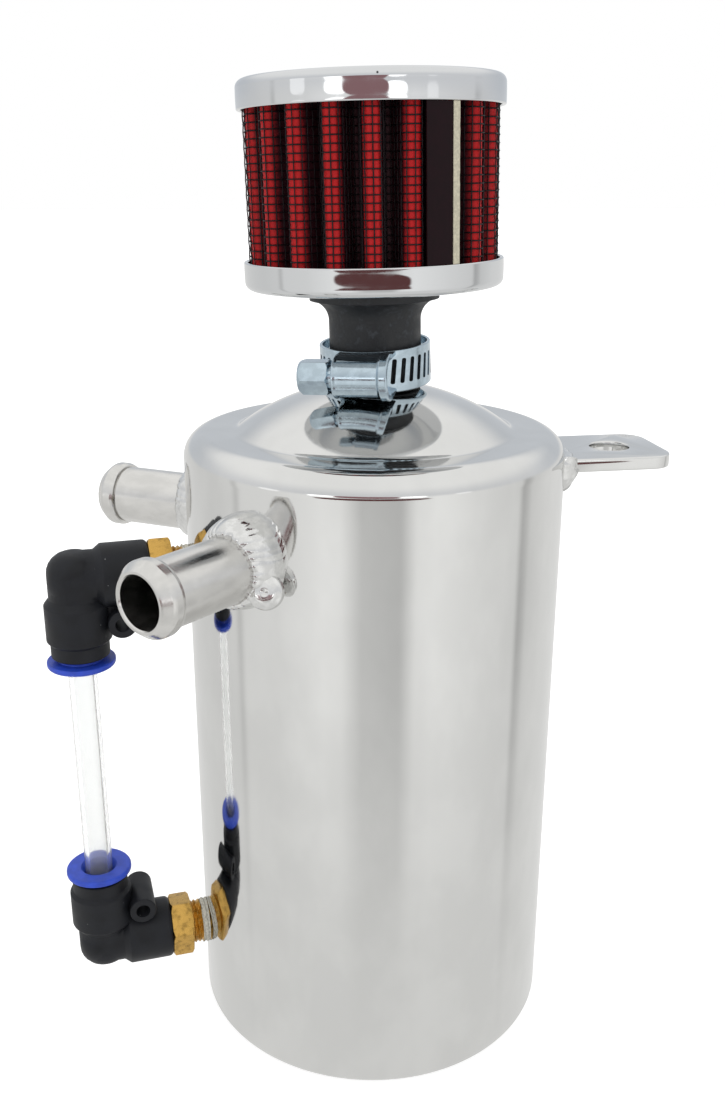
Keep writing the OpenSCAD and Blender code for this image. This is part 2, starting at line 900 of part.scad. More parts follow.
module filter_base_cap() {
    color([0.80, 0.81, 0.83])
        leaning()
            translate([0, 0, base_cap_h])
                cap_cup(base_cap_depth, flare_d / 2 + weld_fit);
}

module filter_top_cap() {
    color([0.80, 0.81, 0.83])
        leaning()
            translate([0, 0, cap_top])
                mirror([0, 0, 1])
                    cap_cup(top_cap_depth, 0);
}

module filter_top_potting() {
    color([0.10, 0.10, 0.10])
        leaning()
            translate([0, 0, cap_top - cap_t])
                mirror([0, 0, 1])
                    rotate_extrude()
                        potting_outline();
}

// Pleated outline, moved out by grow: round crests and valleys joined by straight sides
function pleat_outline(grow) =
    let (
        step = 360 / pleats,
        valley_x = valley_at * cos(step / 2),
        valley_y = valley_at * sin(step / 2),
        gap = norm([valley_x - crest_at, valley_y]),
        side = atan2(valley_y, valley_x - crest_at) - acos((crest_r + valley_r) / gap),
        big = crest_r + grow,
        small = valley_r - grow,
        parts = 6
    )
    [for (i = [0 : pleats - 1]) each concat(
        [for (k = [-parts : 2 : parts])
            let (a = side * k / parts)
                turned([crest_at + big * cos(a), big * sin(a)], i * step)],
        [for (k = [-parts : parts : parts])
            let (a = (side - step / 2) * k / parts)
                turned([valley_at - small * cos(a), small * sin(a)], (i + 0.5) * step)]
    )];

function turned(p, a) = [p[0] * cos(a) - p[1] * sin(a), p[0] * sin(a) + p[1] * cos(a)];

module pleat_ring(outer, inner, low, high) {
    leaning()
        rotate([0, 0, pleat_turn])
            translate([0, 0, low])
                linear_extrude(high - low)
                    difference() {
                        polygon(pleat_outline(outer));
                        polygon(pleat_outline(inner));
                    }
}

module filter_element() {
    color([0.72, 0.12, 0.10])
        pleat_ring(0, -cloth_t, element_foot, element_head);
}

// The outer screen's openings leave thin rows of wire over each crest
module filter_screen() {
    row = element_h / screen_rows;
    color([0.10, 0.06, 0.07])
        difference() {
            pleat_ring(screen_fit + screen_t, screen_fit, element_foot, element_head);
            leaning()
                for (i = [0 : pleats - 1])
                    for (k = [0 : screen_rows - 1])
                        rotate([0, 0, pleat_turn + i * 360 / pleats])
                            translate([crest_at + crest_r / 3, -crest_r, element_z + (k + screen_wire) * row])
                                cube([crest_r * 2, crest_r * 2, (1 - 2 * screen_wire) * row]);
        }
}

module filter_inner_screen() {
    color([0.35, 0.35, 0.36])
        pleat_ring(-cloth_t - screen_fit, -cloth_t - screen_fit - screen_t, element_foot, element_head);
}

module filter_seam_lap() {
    color([0.14, 0.09, 0.10])
        leaning()
            translate([0, 0, element_z + weld_fit])
                rotate([0, 0, lap_from])
                    rotate_extrude(angle = lap_span)
                        translate([lap_in, 0])
                            square([lap_t, element_h - 2 * weld_fit]);
}

module filter_seam_strip() {
    span = strip_w / lap_in * 180 / PI;
    color([0.75, 0.73, 0.64])
        leaning()
            translate([0, 0, element_z + weld_fit])
                rotate([0, 0, lap_from + lap_span])
                    rotate_extrude(angle = span)
                        translate([lap_in, 0])
                            square([lap_t + strip_proud, element_h - 2 * weld_fit]);
}

// The hose clamp is drawn with its screw housing on +X, and its screw along Y
module clamped() {
    rotate([0, 0, housing_angle])
        translate([band_shift, 0, band_h])
            rotate([band_roll, band_droop, 0])
                children();
}

module clamp_band() {
    // No slot is cut under the housing
    covered = 2 * asin((housing_len + rim_len) / 2 / (band_r + band_t));
    count = 1 + floor((360 - covered) / slot_step);
    first = (360 - (count - 1) * slot_step) / 2;
    color([0.66, 0.74, 0.80])
        clamped()
            difference() {
                cylinder(r = band_r + band_t, h = band_w, center = true);
                cylinder(r = band_r, h = band_w + 2 * past, center = true);
                for (i = [0 : count - 1])
                    rotate([0, 0, first + i * slot_step])
                        rotate([slot_slant, 0, 0])
                            translate([band_r + band_t / 2, 0, 0])
                                cube([2 * band_t + past, slot_w, slot_h], center = true);
            }
}

// Arch of sheet metal over the worm, on two feet that reach the band
module housing_section(outer, inner) {
    difference() {
        union() {
            translate([screw_at, 0])
                circle(outer);
            translate([band_r - past, -outer])
                square([screw_at - band_r + past, 2 * outer]);
        }
        translate([screw_at, 0])
            circle(inner);
        translate([0, -inner])
            square([screw_at, 2 * inner]);
    }
}

module clamp_housing() {
    inner = housing_r - housing_t;
    color([0.66, 0.73, 0.79])
        clamped()
            difference() {
                union() {
                    rotate([90, 0, 0])
                        linear_extrude(housing_len, center = true)
                            housing_section(housing_r, inner);
                    translate([0, housing_len / 2 + rim_len, 0])
                        rotate([90, 0, 0])
                            linear_extrude(rim_len)
                                housing_section(housing_r + rim_h, inner);
                }
                cylinder(r = band_r + band_t + rubber_fit, h = 4 * housing_r, center = true);
            }
}

module clamp_screw() {
    head_r = head_hex / 2 / cos(30);
    slope = head_r - head_chamfer;
    color([0.62, 0.70, 0.78])
        clamped()
            translate([screw_at, 0, 0])
                rotate([90, 0, 0]) {
                    translate([0, 0, -housing_len / 2])
                        cylinder(r = worm_r, h = housing_len + collar_len + head_len / 2);
                    translate([0, 0, head_start])
                        intersection() {
                            cylinder(r = head_r, h = head_len, $fn = 6);
                            cylinder(r1 = slope + head_len, r2 = slope, h = head_len);
                        }
                }
}

tank_wall();
tank_top();
tank_base();
breather_spigot();
front_port();
rear_port();
front_port_weld();
rear_port_weld();
bracket();
bracket_weld();
upper_gauge_boss();
lower_gauge_boss();
upper_stud();
lower_stud();
upper_thread_tape();
lower_thread_tape();
upper_elbow();
lower_elbow();
upper_release_ring();
lower_release_ring();
upper_grab_ring();
lower_grab_ring();
upper_tube_seal();
lower_tube_seal();
upper_swivel_seal();
lower_swivel_seal();
sight_tube();
filter_neck();
filter_base_cap();
filter_top_cap();
filter_top_potting();
filter_element();
filter_screen();
filter_inner_screen();
filter_seam_lap();
filter_seam_strip();
clamp_band();
clamp_housing();
clamp_screw();
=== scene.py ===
"""Oil catch can: dresses the fixed CAD frame with its finished pieces, materials and studio."""
import math
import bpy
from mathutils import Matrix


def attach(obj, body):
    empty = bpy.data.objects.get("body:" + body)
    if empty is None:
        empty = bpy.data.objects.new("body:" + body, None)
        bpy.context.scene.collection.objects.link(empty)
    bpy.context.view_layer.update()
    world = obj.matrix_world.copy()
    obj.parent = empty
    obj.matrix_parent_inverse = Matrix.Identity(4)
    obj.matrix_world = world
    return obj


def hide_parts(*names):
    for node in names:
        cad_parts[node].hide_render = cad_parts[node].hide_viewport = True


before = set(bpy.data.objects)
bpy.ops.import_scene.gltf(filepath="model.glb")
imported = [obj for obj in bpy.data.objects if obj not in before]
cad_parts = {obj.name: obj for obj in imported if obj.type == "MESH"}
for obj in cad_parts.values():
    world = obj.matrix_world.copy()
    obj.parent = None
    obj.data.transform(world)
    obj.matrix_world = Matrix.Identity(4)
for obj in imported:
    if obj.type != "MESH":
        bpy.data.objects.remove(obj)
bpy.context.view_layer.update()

from types import SimpleNamespace

import bmesh
import bpy
from bpy.props import FloatProperty, FloatVectorProperty, IntProperty, PointerProperty
from mathutils import Matrix, Vector, noise

bl_info = {
    "name": "Oil Catch Can",
    "version": (1, 0, 0),
    "blender": (4, 5, 0),
    "location": "View3D > Sidebar > Catch Can",
    "description": "Builds the tank, hose tails, sight gauge, filter and clamp of an oil catch can",
    "category": "Object",
}

MM = 0.001


# Sizes and colours that a user can change

def length(name, text, millimetres):
    """A length property. Its default is given in millimetres."""
    return FloatProperty(name=name, description=text, default=millimetres * MM, unit="LENGTH", precision=5)


def angle(name, text, degrees):
    """An angle property. Its default is given in degrees."""
    return FloatProperty(name=name, description=text, default=math.radians(degrees), subtype="ANGLE")


def colour(name, text, value):
    """A colour property."""
    return FloatVectorProperty(name=name, description=text, default=value, subtype="COLOR", size=3,
                               min=0, max=1)


def plain(group):
    """The values of a property group, with lengths in millimetres and angles in degrees."""
    found = {}
    for prop in group.bl_rna.properties:
        if prop.identifier in ("rna_type", "name"):
            continue
        value = getattr(group, prop.identifier)
        if prop.unit == "LENGTH":
            value = value / MM
        elif prop.unit == "ROTATION":
            value = math.degrees(value)
        found[prop.identifier] = value
    return SimpleNamespace(**found)


class TankSizes(bpy.types.PropertyGroup):
    """Sizes of the tank and its bracket."""

    radius: length("Tank radius", "Outer radius of the tank", 40)
    wall: length("Wall", "Thickness of the wall and the top", 2)
    ring_height: length("Ring height", "Height of the flat ring round the dome", 135.9)
    shoulder: length("Shoulder", "Radius of the rounded top edge", 5)
    heel: length("Heel", "Radius of the rounded bottom edge", 2.2)
    base: length("Base", "Thickness of the base", 3)
    seam_drop: length("Seam drop", "Depth of the top and the base on the wall", 1)
    dome_radius: length("Dome radius", "Radius of the dome at the flat ring", 29.2)
    dome_height: length("Dome height", "Height of the dome above the flat ring", 9.6)
    dome_hollow: length("Dome hollow", "Radius of the hollow corner round the dome", 3)
    spigot_radius: length("Spigot radius", "Outer radius of the spigot under the filter", 6)
    bracket_width: length("Bracket width", "Width of the bracket", 22.5)
    bracket_sheet: length("Bracket sheet", "Thickness of the bracket", 2.8)
    bracket_out: length("Bracket length", "Length of the bracket outside the wall", 23.5)
    bracket_drop: length("Bracket drop", "Distance of the bracket below the flat ring", 5.9)
    bracket_corner: length("Bracket corner", "Corner radius of the bracket", 5)
    hole_radius: length("Hole radius", "Radius of the bracket's hole", 4.3)
    hole_out: length("Hole place", "Distance from the wall to the bracket's hole", 12.6)
    bracket_weld_down: length("Bracket weld", "Depth of the weld under the bracket", 3.7)


class TailSizes(bpy.types.PropertyGroup):
    """Sizes of the two hose tails and their welds."""

    radius: length("Tail radius", "Outer radius of a hose tail", 6.5)
    bore: length("Bore", "Radius of a hose tail's bore", 5)
    bead_radius: length("Bead radius", "Radius of the bead that holds the hose", 7.3)
    bead_length: length("Bead length", "Length of the bead", 4.8)
    nose: length("Nose", "Radius of the bead's rounded nose", 2)
    out: length("Tail length", "Length of a hose tail outside the wall", 27.4)
    front_angle: angle("Front direction", "Direction of the front hose tail, from the bracket", 222.8)
    front_drop: length("Front drop", "Distance of the front hose tail below the flat ring", 19.2)
    rear_angle: angle("Rear direction", "Direction of the rear hose tail, from the bracket", 147.4)
    rear_drop: length("Rear drop", "Distance of the rear hose tail below the flat ring", 21.5)
    weld_reach: length("Weld reach", "Reach of the weld along the wall beside the hose tail", 2.1)
    weld_top: length("Weld top", "Reach of the weld along the wall above the hose tail", 3.4)
    weld_height: length("Weld height", "Height of the weld up the hose tail", 6.4)
    weld_step: length("Weld step", "Distance between the ripples of the weld", 2.0)
    weld_end: length("Weld end", "Radius of the round end of the weld", 3.5)


class GaugeSizes(bpy.types.PropertyGroup):
    """Sizes of the sight gauge."""

    direction: angle("Direction", "Direction of the sight gauge, from the bracket", 186.6)
    lower: length("Lower stud", "Height of the lower stud", 21.3)
    upper_drop: length("Upper stud", "Distance of the upper stud below the flat ring", 27.4)
    out: length("Tube place", "Distance from the wall to the sight tube's middle", 23.6)
    tube_radius: length("Tube radius", "Outer radius of the sight tube", 3)
    tube_bore: length("Tube bore", "Bore radius of the sight tube", 2)
    thread_radius: length("Thread radius", "Outer radius of a stud's thread", 4.85)
    thread_pitch: length("Thread pitch", "Pitch of a stud's thread", 0.91)
    hexagon: length("Hexagon", "Width across the flats of a stud's hexagon", 12)
    hexagon_length: length("Hexagon length", "Length of a stud's hexagon", 4.6)
    tape_width: length("Tape width", "Width of the sealing tape that shows", 1.6)
    sleeve: length("Sleeve radius", "Radius of an elbow's sleeves", 6.7)
    corner: length("Corner radius", "Radius of an elbow at its corner", 5.6)
    corner_round: length("Corner rounding", "Radius that rounds the outside of an elbow's corner", 4.4)
    sleeve_start: length("Sleeve start", "Distance from an elbow's corner to its sleeves", 5.4)
    stud_arm: length("Stud arm", "Length of an elbow's arm towards the tank", 15)
    tube_arm: length("Tube arm", "Length of an elbow's arm towards the tube", 16.8)
    lug_radius: length("Lug radius", "Radius of an elbow's lug", 2.95)
    lug_length: length("Lug length", "Length of an elbow's lug", 11.6)
    lug_side: length("Lug side", "Distance of the lug from the tube", 8.6)
    lug_up: length("Lug height", "Distance of the lug from the stud", 9.1)
    ring_radius: length("Ring radius", "Radius of a release ring's flange", 7.05)
    ring_sheet: length("Ring thickness", "Thickness of a release ring's flange", 1.3)
    ring_gap: length("Ring gap", "Gap between a release ring and its elbow", 1)


class FilterSizes(bpy.types.PropertyGroup):
    """Sizes of the breather filter and its neck."""

    lean: angle("Lean", "Lean of the filter from upright", 1.45)
    cap_radius: length("Cap radius", "Radius of the chrome caps", 26)
    cap_sheet: length("Cap sheet", "Sheet thickness of the chrome caps", 0.8)
    cap_round: length("Cap rounding", "Radius of a cap's rounded edge", 1.6)
    neck_length: length("Neck length", "Distance from the dome to the base cap", 20.1)
    base_depth: length("Base cap depth", "Depth of the base cap", 5.5)
    top_depth: length("Top cap depth", "Depth of the top cap", 5.6)
    element: length("Element height", "Height of the element that shows", 27.9)
    pleats: IntProperty(name="Pleats", description="Number of pleats", default=20, min=8, max=40)
    first_pleat: angle("First pleat", "Direction of the first pleat", 7.8)
    crest_at: length("Crest place", "Distance of a crest's centre from the filter's middle", 22.95)
    crest: length("Crest radius", "Radius of a pleat's crest", 1.75)
    valley_at: length("Valley place", "Distance of a valley's centre from the filter's middle", 19.15)
    valley: length("Valley radius", "Radius of the bottom of a valley", 0.9)
    cloth: length("Cloth", "Thickness of the pleated cloth", 0.9)
    mesh_step: length("Mesh step", "Distance between the wires of the outer mesh", 1.45)
    wire: length("Wire", "Radius of a wire", 0.13)
    lap_from: angle("Lap start", "Direction where the lap of the seam starts", 282)
    lap_span: angle("Lap width", "Width of the lap as an angle", 12.2)
    strip: length("Strip width", "Width of the seam's pale edge", 1.4)
    neck: length("Neck radius", "Radius of the rubber neck", 9.4)
    flare: length("Flare", "Radius of the flare under the base cap", 4.2)
    flare_lip: length("Flare lip", "Height of the straight part between the flare and the base cap", 2.4)
    flare_out: length("Flare radius", "Radius of the flare where it meets the base cap", 13.2)


class ClampSizes(bpy.types.PropertyGroup):
    """Sizes of the hose clamp."""

    band: length("Band radius", "Inside radius of the band", 10.75)
    band_sheet: length("Band sheet", "Thickness of the band", 0.65)
    band_width: length("Band width", "Width of the band", 8.4)
    band_gap: length("Band gap", "Distance from the dome to the band", 0.6)
    droop: angle("Droop", "Droop of the band towards its housing", 3.5)
    roll: angle("Roll", "Roll of the band along its housing", 2)
    direction: angle("Housing direction", "Direction of the screw housing", 246.5)
    housing: length("Housing length", "Length of the screw housing", 9.4)
    rim: length("Rim length", "Length of the rim at the housing's end", 1.8)
    housing_radius: length("Housing radius", "Outer radius of the screw housing", 4.1)
    housing_sheet: length("Housing sheet", "Thickness of the housing's sheet", 0.7)
    rim_height: length("Rim height", "Height of the housing's rim", 0.6)
    worm: length("Worm radius", "Radius of the screw's worm", 3)
    worm_gap: length("Worm gap", "Gap between the band and the worm", 0.3)
    head: length("Head", "Width across the flats of the screw's head", 6.4)
    head_length: length("Head length", "Length of the screw's head", 6.1)
    collar: length("Collar", "Length of the screw's collar", 1)
    slot_step: angle("Slot step", "Angle between the band's slots", 10.6)
    slot_width: length("Slot width", "Width of a slot", 1)
    slot_height: length("Slot height", "Height of a slot", 5)
    slot_slant: angle("Slot slant", "Slant of a slot", -7)


class Colours(bpy.types.PropertyGroup):
    """Colours of the finishes."""

    aluminium: colour("Aluminium", "Polished tank and bracket", (0.72, 0.72, 0.71))
    weld: colour("Weld", "Weld metal", (0.76, 0.76, 0.75))
    turned: colour("Turned aluminium", "Hose tails", (0.70, 0.69, 0.67))
    brass: colour("Brass", "Studs", (0.58, 0.35, 0.09))
    tape: colour("Tape", "Sealing tape", (0.62, 0.60, 0.52))
    black: colour("Black plastic", "Elbows", (0.010, 0.011, 0.014))
    blue: colour("Blue plastic", "Release rings", (0.022, 0.070, 0.56))
    rubber: colour("Rubber", "Filter neck", (0.018, 0.020, 0.023))
    chrome: colour("Chrome", "Filter caps", (0.68, 0.69, 0.70))
    crest: colour("Cloth crest", "Crests of the oiled cloth", (0.50, 0.012, 0.014))
    # Painted shade: the cloth valley colour is near-black to paint the deep shade in the pleats' valleys. The
    # cloth there is the same red as on the crests.
    valley: colour("Cloth valley", "Valleys of the oiled cloth", (0.045, 0.010, 0.015))
    wire: colour("Wire", "Coated wire mesh", (0.012, 0.007, 0.009))
    lap: colour("Lap", "Glued lap of the seam", (0.012, 0.004, 0.006))
    strip: colour("Strip", "Pale cut edge of the seam", (0.58, 0.54, 0.41))
    zinc: colour("Zinc", "Plated clamp", (0.50, 0.60, 0.67))


# Places

def move(x, y, z):
    """A shift in millimetres."""
    return Matrix.Translation((x, y, z))


def turn(degrees, axis):
    """A turn about one axis."""
    return Matrix.Rotation(math.radians(degrees), 4, axis)


def outwards(degrees, height):
    """Turns a piece drawn along +Z so that it points outwards from the tank."""
    return move(0, 0, height) @ turn(degrees, "Z") @ turn(90, "Y")


def group(name):
    """The plain values of one group of sizes."""
    return plain(getattr(bpy.context.scene, "can_" + name))


def crown_height(tank):
    """Height of the small flat on the dome and the dome's sphere: its radius and its centre's height."""
    ball = (tank.dome_radius ** 2 + tank.dome_height ** 2) / (2 * tank.dome_height)
    centre = tank.ring_height + tank.dome_height - ball
    crown_radius = tank.spigot_radius + 1.5
    return centre + math.sqrt(ball ** 2 - crown_radius ** 2), ball, centre, crown_radius


def lean_pivot(tank, sizes):
    """Height at which the filter starts to lean, just under the flare of its neck."""
    return crown_height(tank)[0] + sizes.neck_length - sizes.flare_lip - sizes.flare - 2


def leaning():
    """The place of the filter, which leans a little on its neck, towards the gauge's side."""
    sizes = group("filter")
    pivot = lean_pivot(group("tank"), sizes)
    lean_axis = 79.5
    return (move(0, 0, pivot) @ turn(lean_axis, "Z") @ turn(-sizes.lean, "X")
            @ turn(-lean_axis, "Z") @ move(0, 0, -pivot))


def fitting(upper):
    """The place of the upper or the lower gauge fitting, drawn with its stud along +X."""
    gauge, tank = group("gauge"), group("tank")
    if upper:
        height = tank.ring_height - gauge.upper_drop
        return move(0, 0, height) @ turn(gauge.direction, "Z") @ turn(180, "X")
    return move(0, 0, gauge.lower) @ turn(gauge.direction, "Z")


def clamped():
    """The place of the hose clamp, drawn with its housing on +X."""
    tank, sizes, clamp = group("tank"), group("filter"), group("clamp")
    crown = crown_height(tank)[0]
    room = (lean_pivot(tank, sizes) - crown) * math.tan(math.radians(sizes.lean))
    room += clamp.band_width / 2 * math.tan(math.radians(clamp.droop + clamp.roll))
    fit = 0.03
    shift = min(0, sizes.neck + fit + room - clamp.band)
    return (turn(clamp.direction, "Z") @ move(shift, 0, crown + clamp.band_gap + clamp.band_width / 2)
            @ turn(clamp.droop, "Y") @ turn(clamp.roll, "X"))


# Shapes. Each is a bmesh in millimetres

def arc(x, z, radius, start, end, steps):
    """Points on an arc in a profile. Angles are in degrees."""
    found = []
    for i in range(steps + 1):
        a = math.radians(start + (end - start) * i / steps)
        found.append((x + radius * math.cos(a), z + radius * math.sin(a)))
    return found


def rounded(corners, steps=6, guard=0.05):
    """A closed profile with its corners (x, z, radius) rounded, and a guard point on each side of a bend."""
    outline = []
    count = len(corners)
    for i, corner in enumerate(corners):
        here = Vector(corner[:2])
        radius = corner[2] if len(corner) > 2 else 0
        if not radius:
            outline.append(tuple(here))
            continue
        back = (Vector(corners[i - 1][:2]) - here).normalized()
        ahead = (Vector(corners[(i + 1) % count][:2]) - here).normalized()
        half = back.angle(ahead) / 2
        reach = radius / math.tan(half)
        centre = here + (back + ahead).normalized() * radius / math.sin(half)
        start = here + back * reach - centre
        end = here + ahead * reach - centre
        sweep = start.angle_signed(end)
        outline.append(tuple(here + back * (reach + guard)))
        for k in range(steps + 1):
            share = k / steps
            a = -sweep * share
            outline.append((centre.x + start.x * math.cos(a) - start.y * math.sin(a),
                            centre.y + start.x * math.sin(a) + start.y * math.cos(a)))
        outline.append(tuple(here + ahead * (reach + guard)))
    return outline


def lathe(outline, steps=128, sweep=360):
    """Spins a closed profile of (radius, height) points about Z."""
    bm = bmesh.new()
    verts = [bm.verts.new((x, 0, z)) for x, z in outline]
    edges = [bm.edges.new((a, b)) for a, b in zip(verts, verts[1:] + verts[:1])]
    bmesh.ops.spin(bm, geom=verts + edges, cent=(0, 0, 0), axis=(0, 0, 1), dvec=(0, 0, 0),
                   angle=math.radians(sweep), steps=steps, use_merge=sweep == 360, use_duplicate=False)
    bmesh.ops.remove_doubles(bm, verts=bm.verts, dist=1e-4)
    if sweep != 360:
        bmesh.ops.holes_fill(bm, edges=[e for e in bm.edges if e.is_boundary], sides=0)
    bmesh.ops.recalc_face_normals(bm, faces=bm.faces)
    return bm


def rod(radius, low, high, steps=64, edge=0.0):
    """A round rod along Z, with softened ends if edge is given."""
    outline = [(0, low), (radius, low, edge), (radius, high, edge), (0, high)]
    return lathe(rounded(outline, 4), steps)


def block(low, high):
    """A plain block between two corners."""
    bm = bmesh.new()
    bmesh.ops.create_cube(bm, size=1)
    low, high = Vector(low), Vector(high)
    size = high - low
    bmesh.ops.scale(bm, vec=size, verts=bm.verts)
    bmesh.ops.translate(bm, vec=(low + high) / 2, verts=bm.verts)
    return bm


def prism(points, low, high):
    """A flat outline of (x, y) points, made solid between two heights."""
    bm = bmesh.new()
    face = bm.faces.new([bm.verts.new((x, y, low)) for x, y in points])
    made = bmesh.ops.extrude_face_region(bm, geom=[face])
    lifted = [v for v in made["geom"] if isinstance(v, bmesh.types.BMVert)]
    bmesh.ops.translate(bm, vec=(0, 0, high - low), verts=lifted)
    bmesh.ops.recalc_face_normals(bm, faces=bm.faces)
    return bm


def hexagon(across, low, high):
    """A hexagonal prism by its width across the flats, and the radius of its corners."""
    corner = across / 2 / math.cos(math.radians(30))
    return prism(arc(0, 0, corner, 30, 330, 5), low, high), corner


def soften(bm, width, segments=3, smallest=35):
    """Bevels the edges that are sharper than an angle in degrees."""
    edges = [e for e in bm.edges if len(e.link_faces) == 2 and e.calc_face_angle(0) > math.radians(smallest)]
    bmesh.ops.bevel(bm, geom=edges, offset=width, offset_type="OFFSET", affect="EDGES",
                    segments=segments, profile=0.5, material=-1, clamp_overlap=True)
    return bm


def drawn_in(v, depth):
    """Moves a point straight towards the Z axis."""
    radius = math.hypot(v.co.x, v.co.y)
    share = (radius - depth) / radius
    v.co.x *= share
    v.co.y *= share


def placed(bm, matrix):
    """The shape, moved to a place."""
    bmesh.ops.transform(bm, matrix=matrix, verts=bm.verts)
    return bm


def torus(rings, segments, shape):
    """A ring of quads whose points are set by shape(angle round the ring, angle round the section)."""
    bm = bmesh.new()
    middle = 3
    bmesh.ops.create_circle(bm, segments=segments, radius=1)
    placed(bm, move(middle, 0, 0) @ turn(90, "X"))
    bmesh.ops.spin(bm, geom=bm.verts[:] + bm.edges[:], cent=(0, 0, 0), axis=(0, 0, 1), dvec=(0, 0, 0),
                   angle=2 * math.pi, steps=rings, use_merge=True, use_duplicate=False)
    bmesh.ops.remove_doubles(bm, verts=bm.verts, dist=1e-5)
    for v in bm.verts:
        around = math.atan2(v.co.y, v.co.x)
        section = math.atan2(v.co.z, math.hypot(v.co.x, v.co.y) - middle)
        v.co = shape(around, section)
    bmesh.ops.recalc_face_normals(bm, faces=bm.faces)
    return bm


def joined(*shapes):
    """Several shapes as one bmesh, not merged."""
    whole = bmesh.new()
    for bm in shapes:
        mesh = bpy.data.meshes.new("part")
        bm.to_mesh(mesh)
        bm.free()
        whole.from_mesh(mesh)
        bpy.data.meshes.remove(mesh)
    return whole


def baked(held):
    """The final shape of an object, with its modifiers."""
    graph = bpy.context.evaluated_depsgraph_get()
    mesh = bpy.data.meshes.new_from_object(held.evaluated_get(graph))
    bm = bmesh.new()
    bm.from_mesh(mesh)
    bpy.data.meshes.remove(mesh)
    return bm


def carved(body, tools, operation="DIFFERENCE"):
    """The body after each tool is cut from it, added to it or shared with it."""
    def hold(bm):
        mesh = bpy.data.meshes.new("tool")
        bm.to_mesh(mesh)
        bm.free()
        held = bpy.data.objects.new("tool", mesh)
        bpy.context.scene.collection.objects.link(held)
        return held

    target = hold(body)
    others = [hold(tool) for tool in tools]
    for other in others:
        cut = target.modifiers.new("cut", "BOOLEAN")
        cut.operation = operation
        cut.solver = "EXACT"
        cut.object = other
    result = baked(target)
    for held in [target] + others:
        old = held.data
        bpy.data.objects.remove(held)
        bpy.data.meshes.remove(old)
    bmesh.ops.remove_doubles(result, verts=result.verts, dist=1e-4)
    return result


def finished(bm, name, finish, nodes, place=None, body="tank", sharp=35):
    """Makes the finished piece from a shape in millimetres, and lets it ride on its body."""
    placed(bm, Matrix.Scale(MM, 4) @ (place or Matrix.Identity(4)))
    for face in bm.faces:
        face.smooth = True
    mesh = bpy.data.meshes.new(name)
    bm.to_mesh(mesh)
    bm.free()
    mesh.set_sharp_from_angle(angle=math.radians(sharp))
    piece = bpy.data.objects.new(name, mesh)
    bpy.context.scene.collection.objects.link(piece)
    mesh.materials.append(finish)
    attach(piece, body)
    if nodes:
        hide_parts(*nodes)
    return piece


def ripple(*values):
    """Smooth noise from minus one to one at a point in millimetres."""
    return noise.noise(Vector(values))


# Materials

class Nodes:
    """A node tree with short ways to add and join nodes."""

    def __init__(self, tree):
        self.tree = tree

    def node(self, kind, **settings):
        made = self.tree.nodes.new(kind)
        for key, value in settings.items():
            setattr(made, key, value)
        return made

    def link(self, source, socket):
        self.tree.links.new(source, socket)

    def feed(self, socket, value):
        if isinstance(value, bpy.types.NodeSocket):
            self.link(value, socket)
        else:
            socket.default_value = value

    def math(self, operation, a, b=0.0):
        made = self.node("ShaderNodeMath", operation=operation)
        self.feed(made.inputs[0], a)
        self.feed(made.inputs[1], b)
        return made.outputs["Value"]

    def between(self, value, low, high, to_low=0.0, to_high=1.0):
        made = self.node("ShaderNodeMapRange", interpolation_type="SMOOTHSTEP")
        self.feed(made.inputs["Value"], value)
        made.inputs["From Min"].default_value = low
        made.inputs["From Max"].default_value = high
        made.inputs["To Min"].default_value = to_low
        made.inputs["To Max"].default_value = to_high
        return made.outputs["Result"]

    def blended(self, a, b, share):
        """A share of one pattern and the rest of another."""
        return self.math("ADD", self.math("MULTIPLY", a, share), self.math("MULTIPLY", b, 1 - share))

    def mixed(self, share, a, b):
        made = self.node("ShaderNodeMix", data_type="RGBA")
        self.feed(made.inputs["Factor"], share)
        for socket, value in ((made.inputs[6], a), (made.inputs[7], b)):
            self.feed(socket, value if isinstance(value, bpy.types.NodeSocket) else (*value, 1))
        return made.outputs[2]

    def along(self, vector, direction):
        """How far a vector points along a direction."""
        made = self.node("ShaderNodeVectorMath", operation="DOT_PRODUCT")
        self.link(vector, made.inputs[0])
        made.inputs[1].default_value = direction
        return made.outputs["Value"]


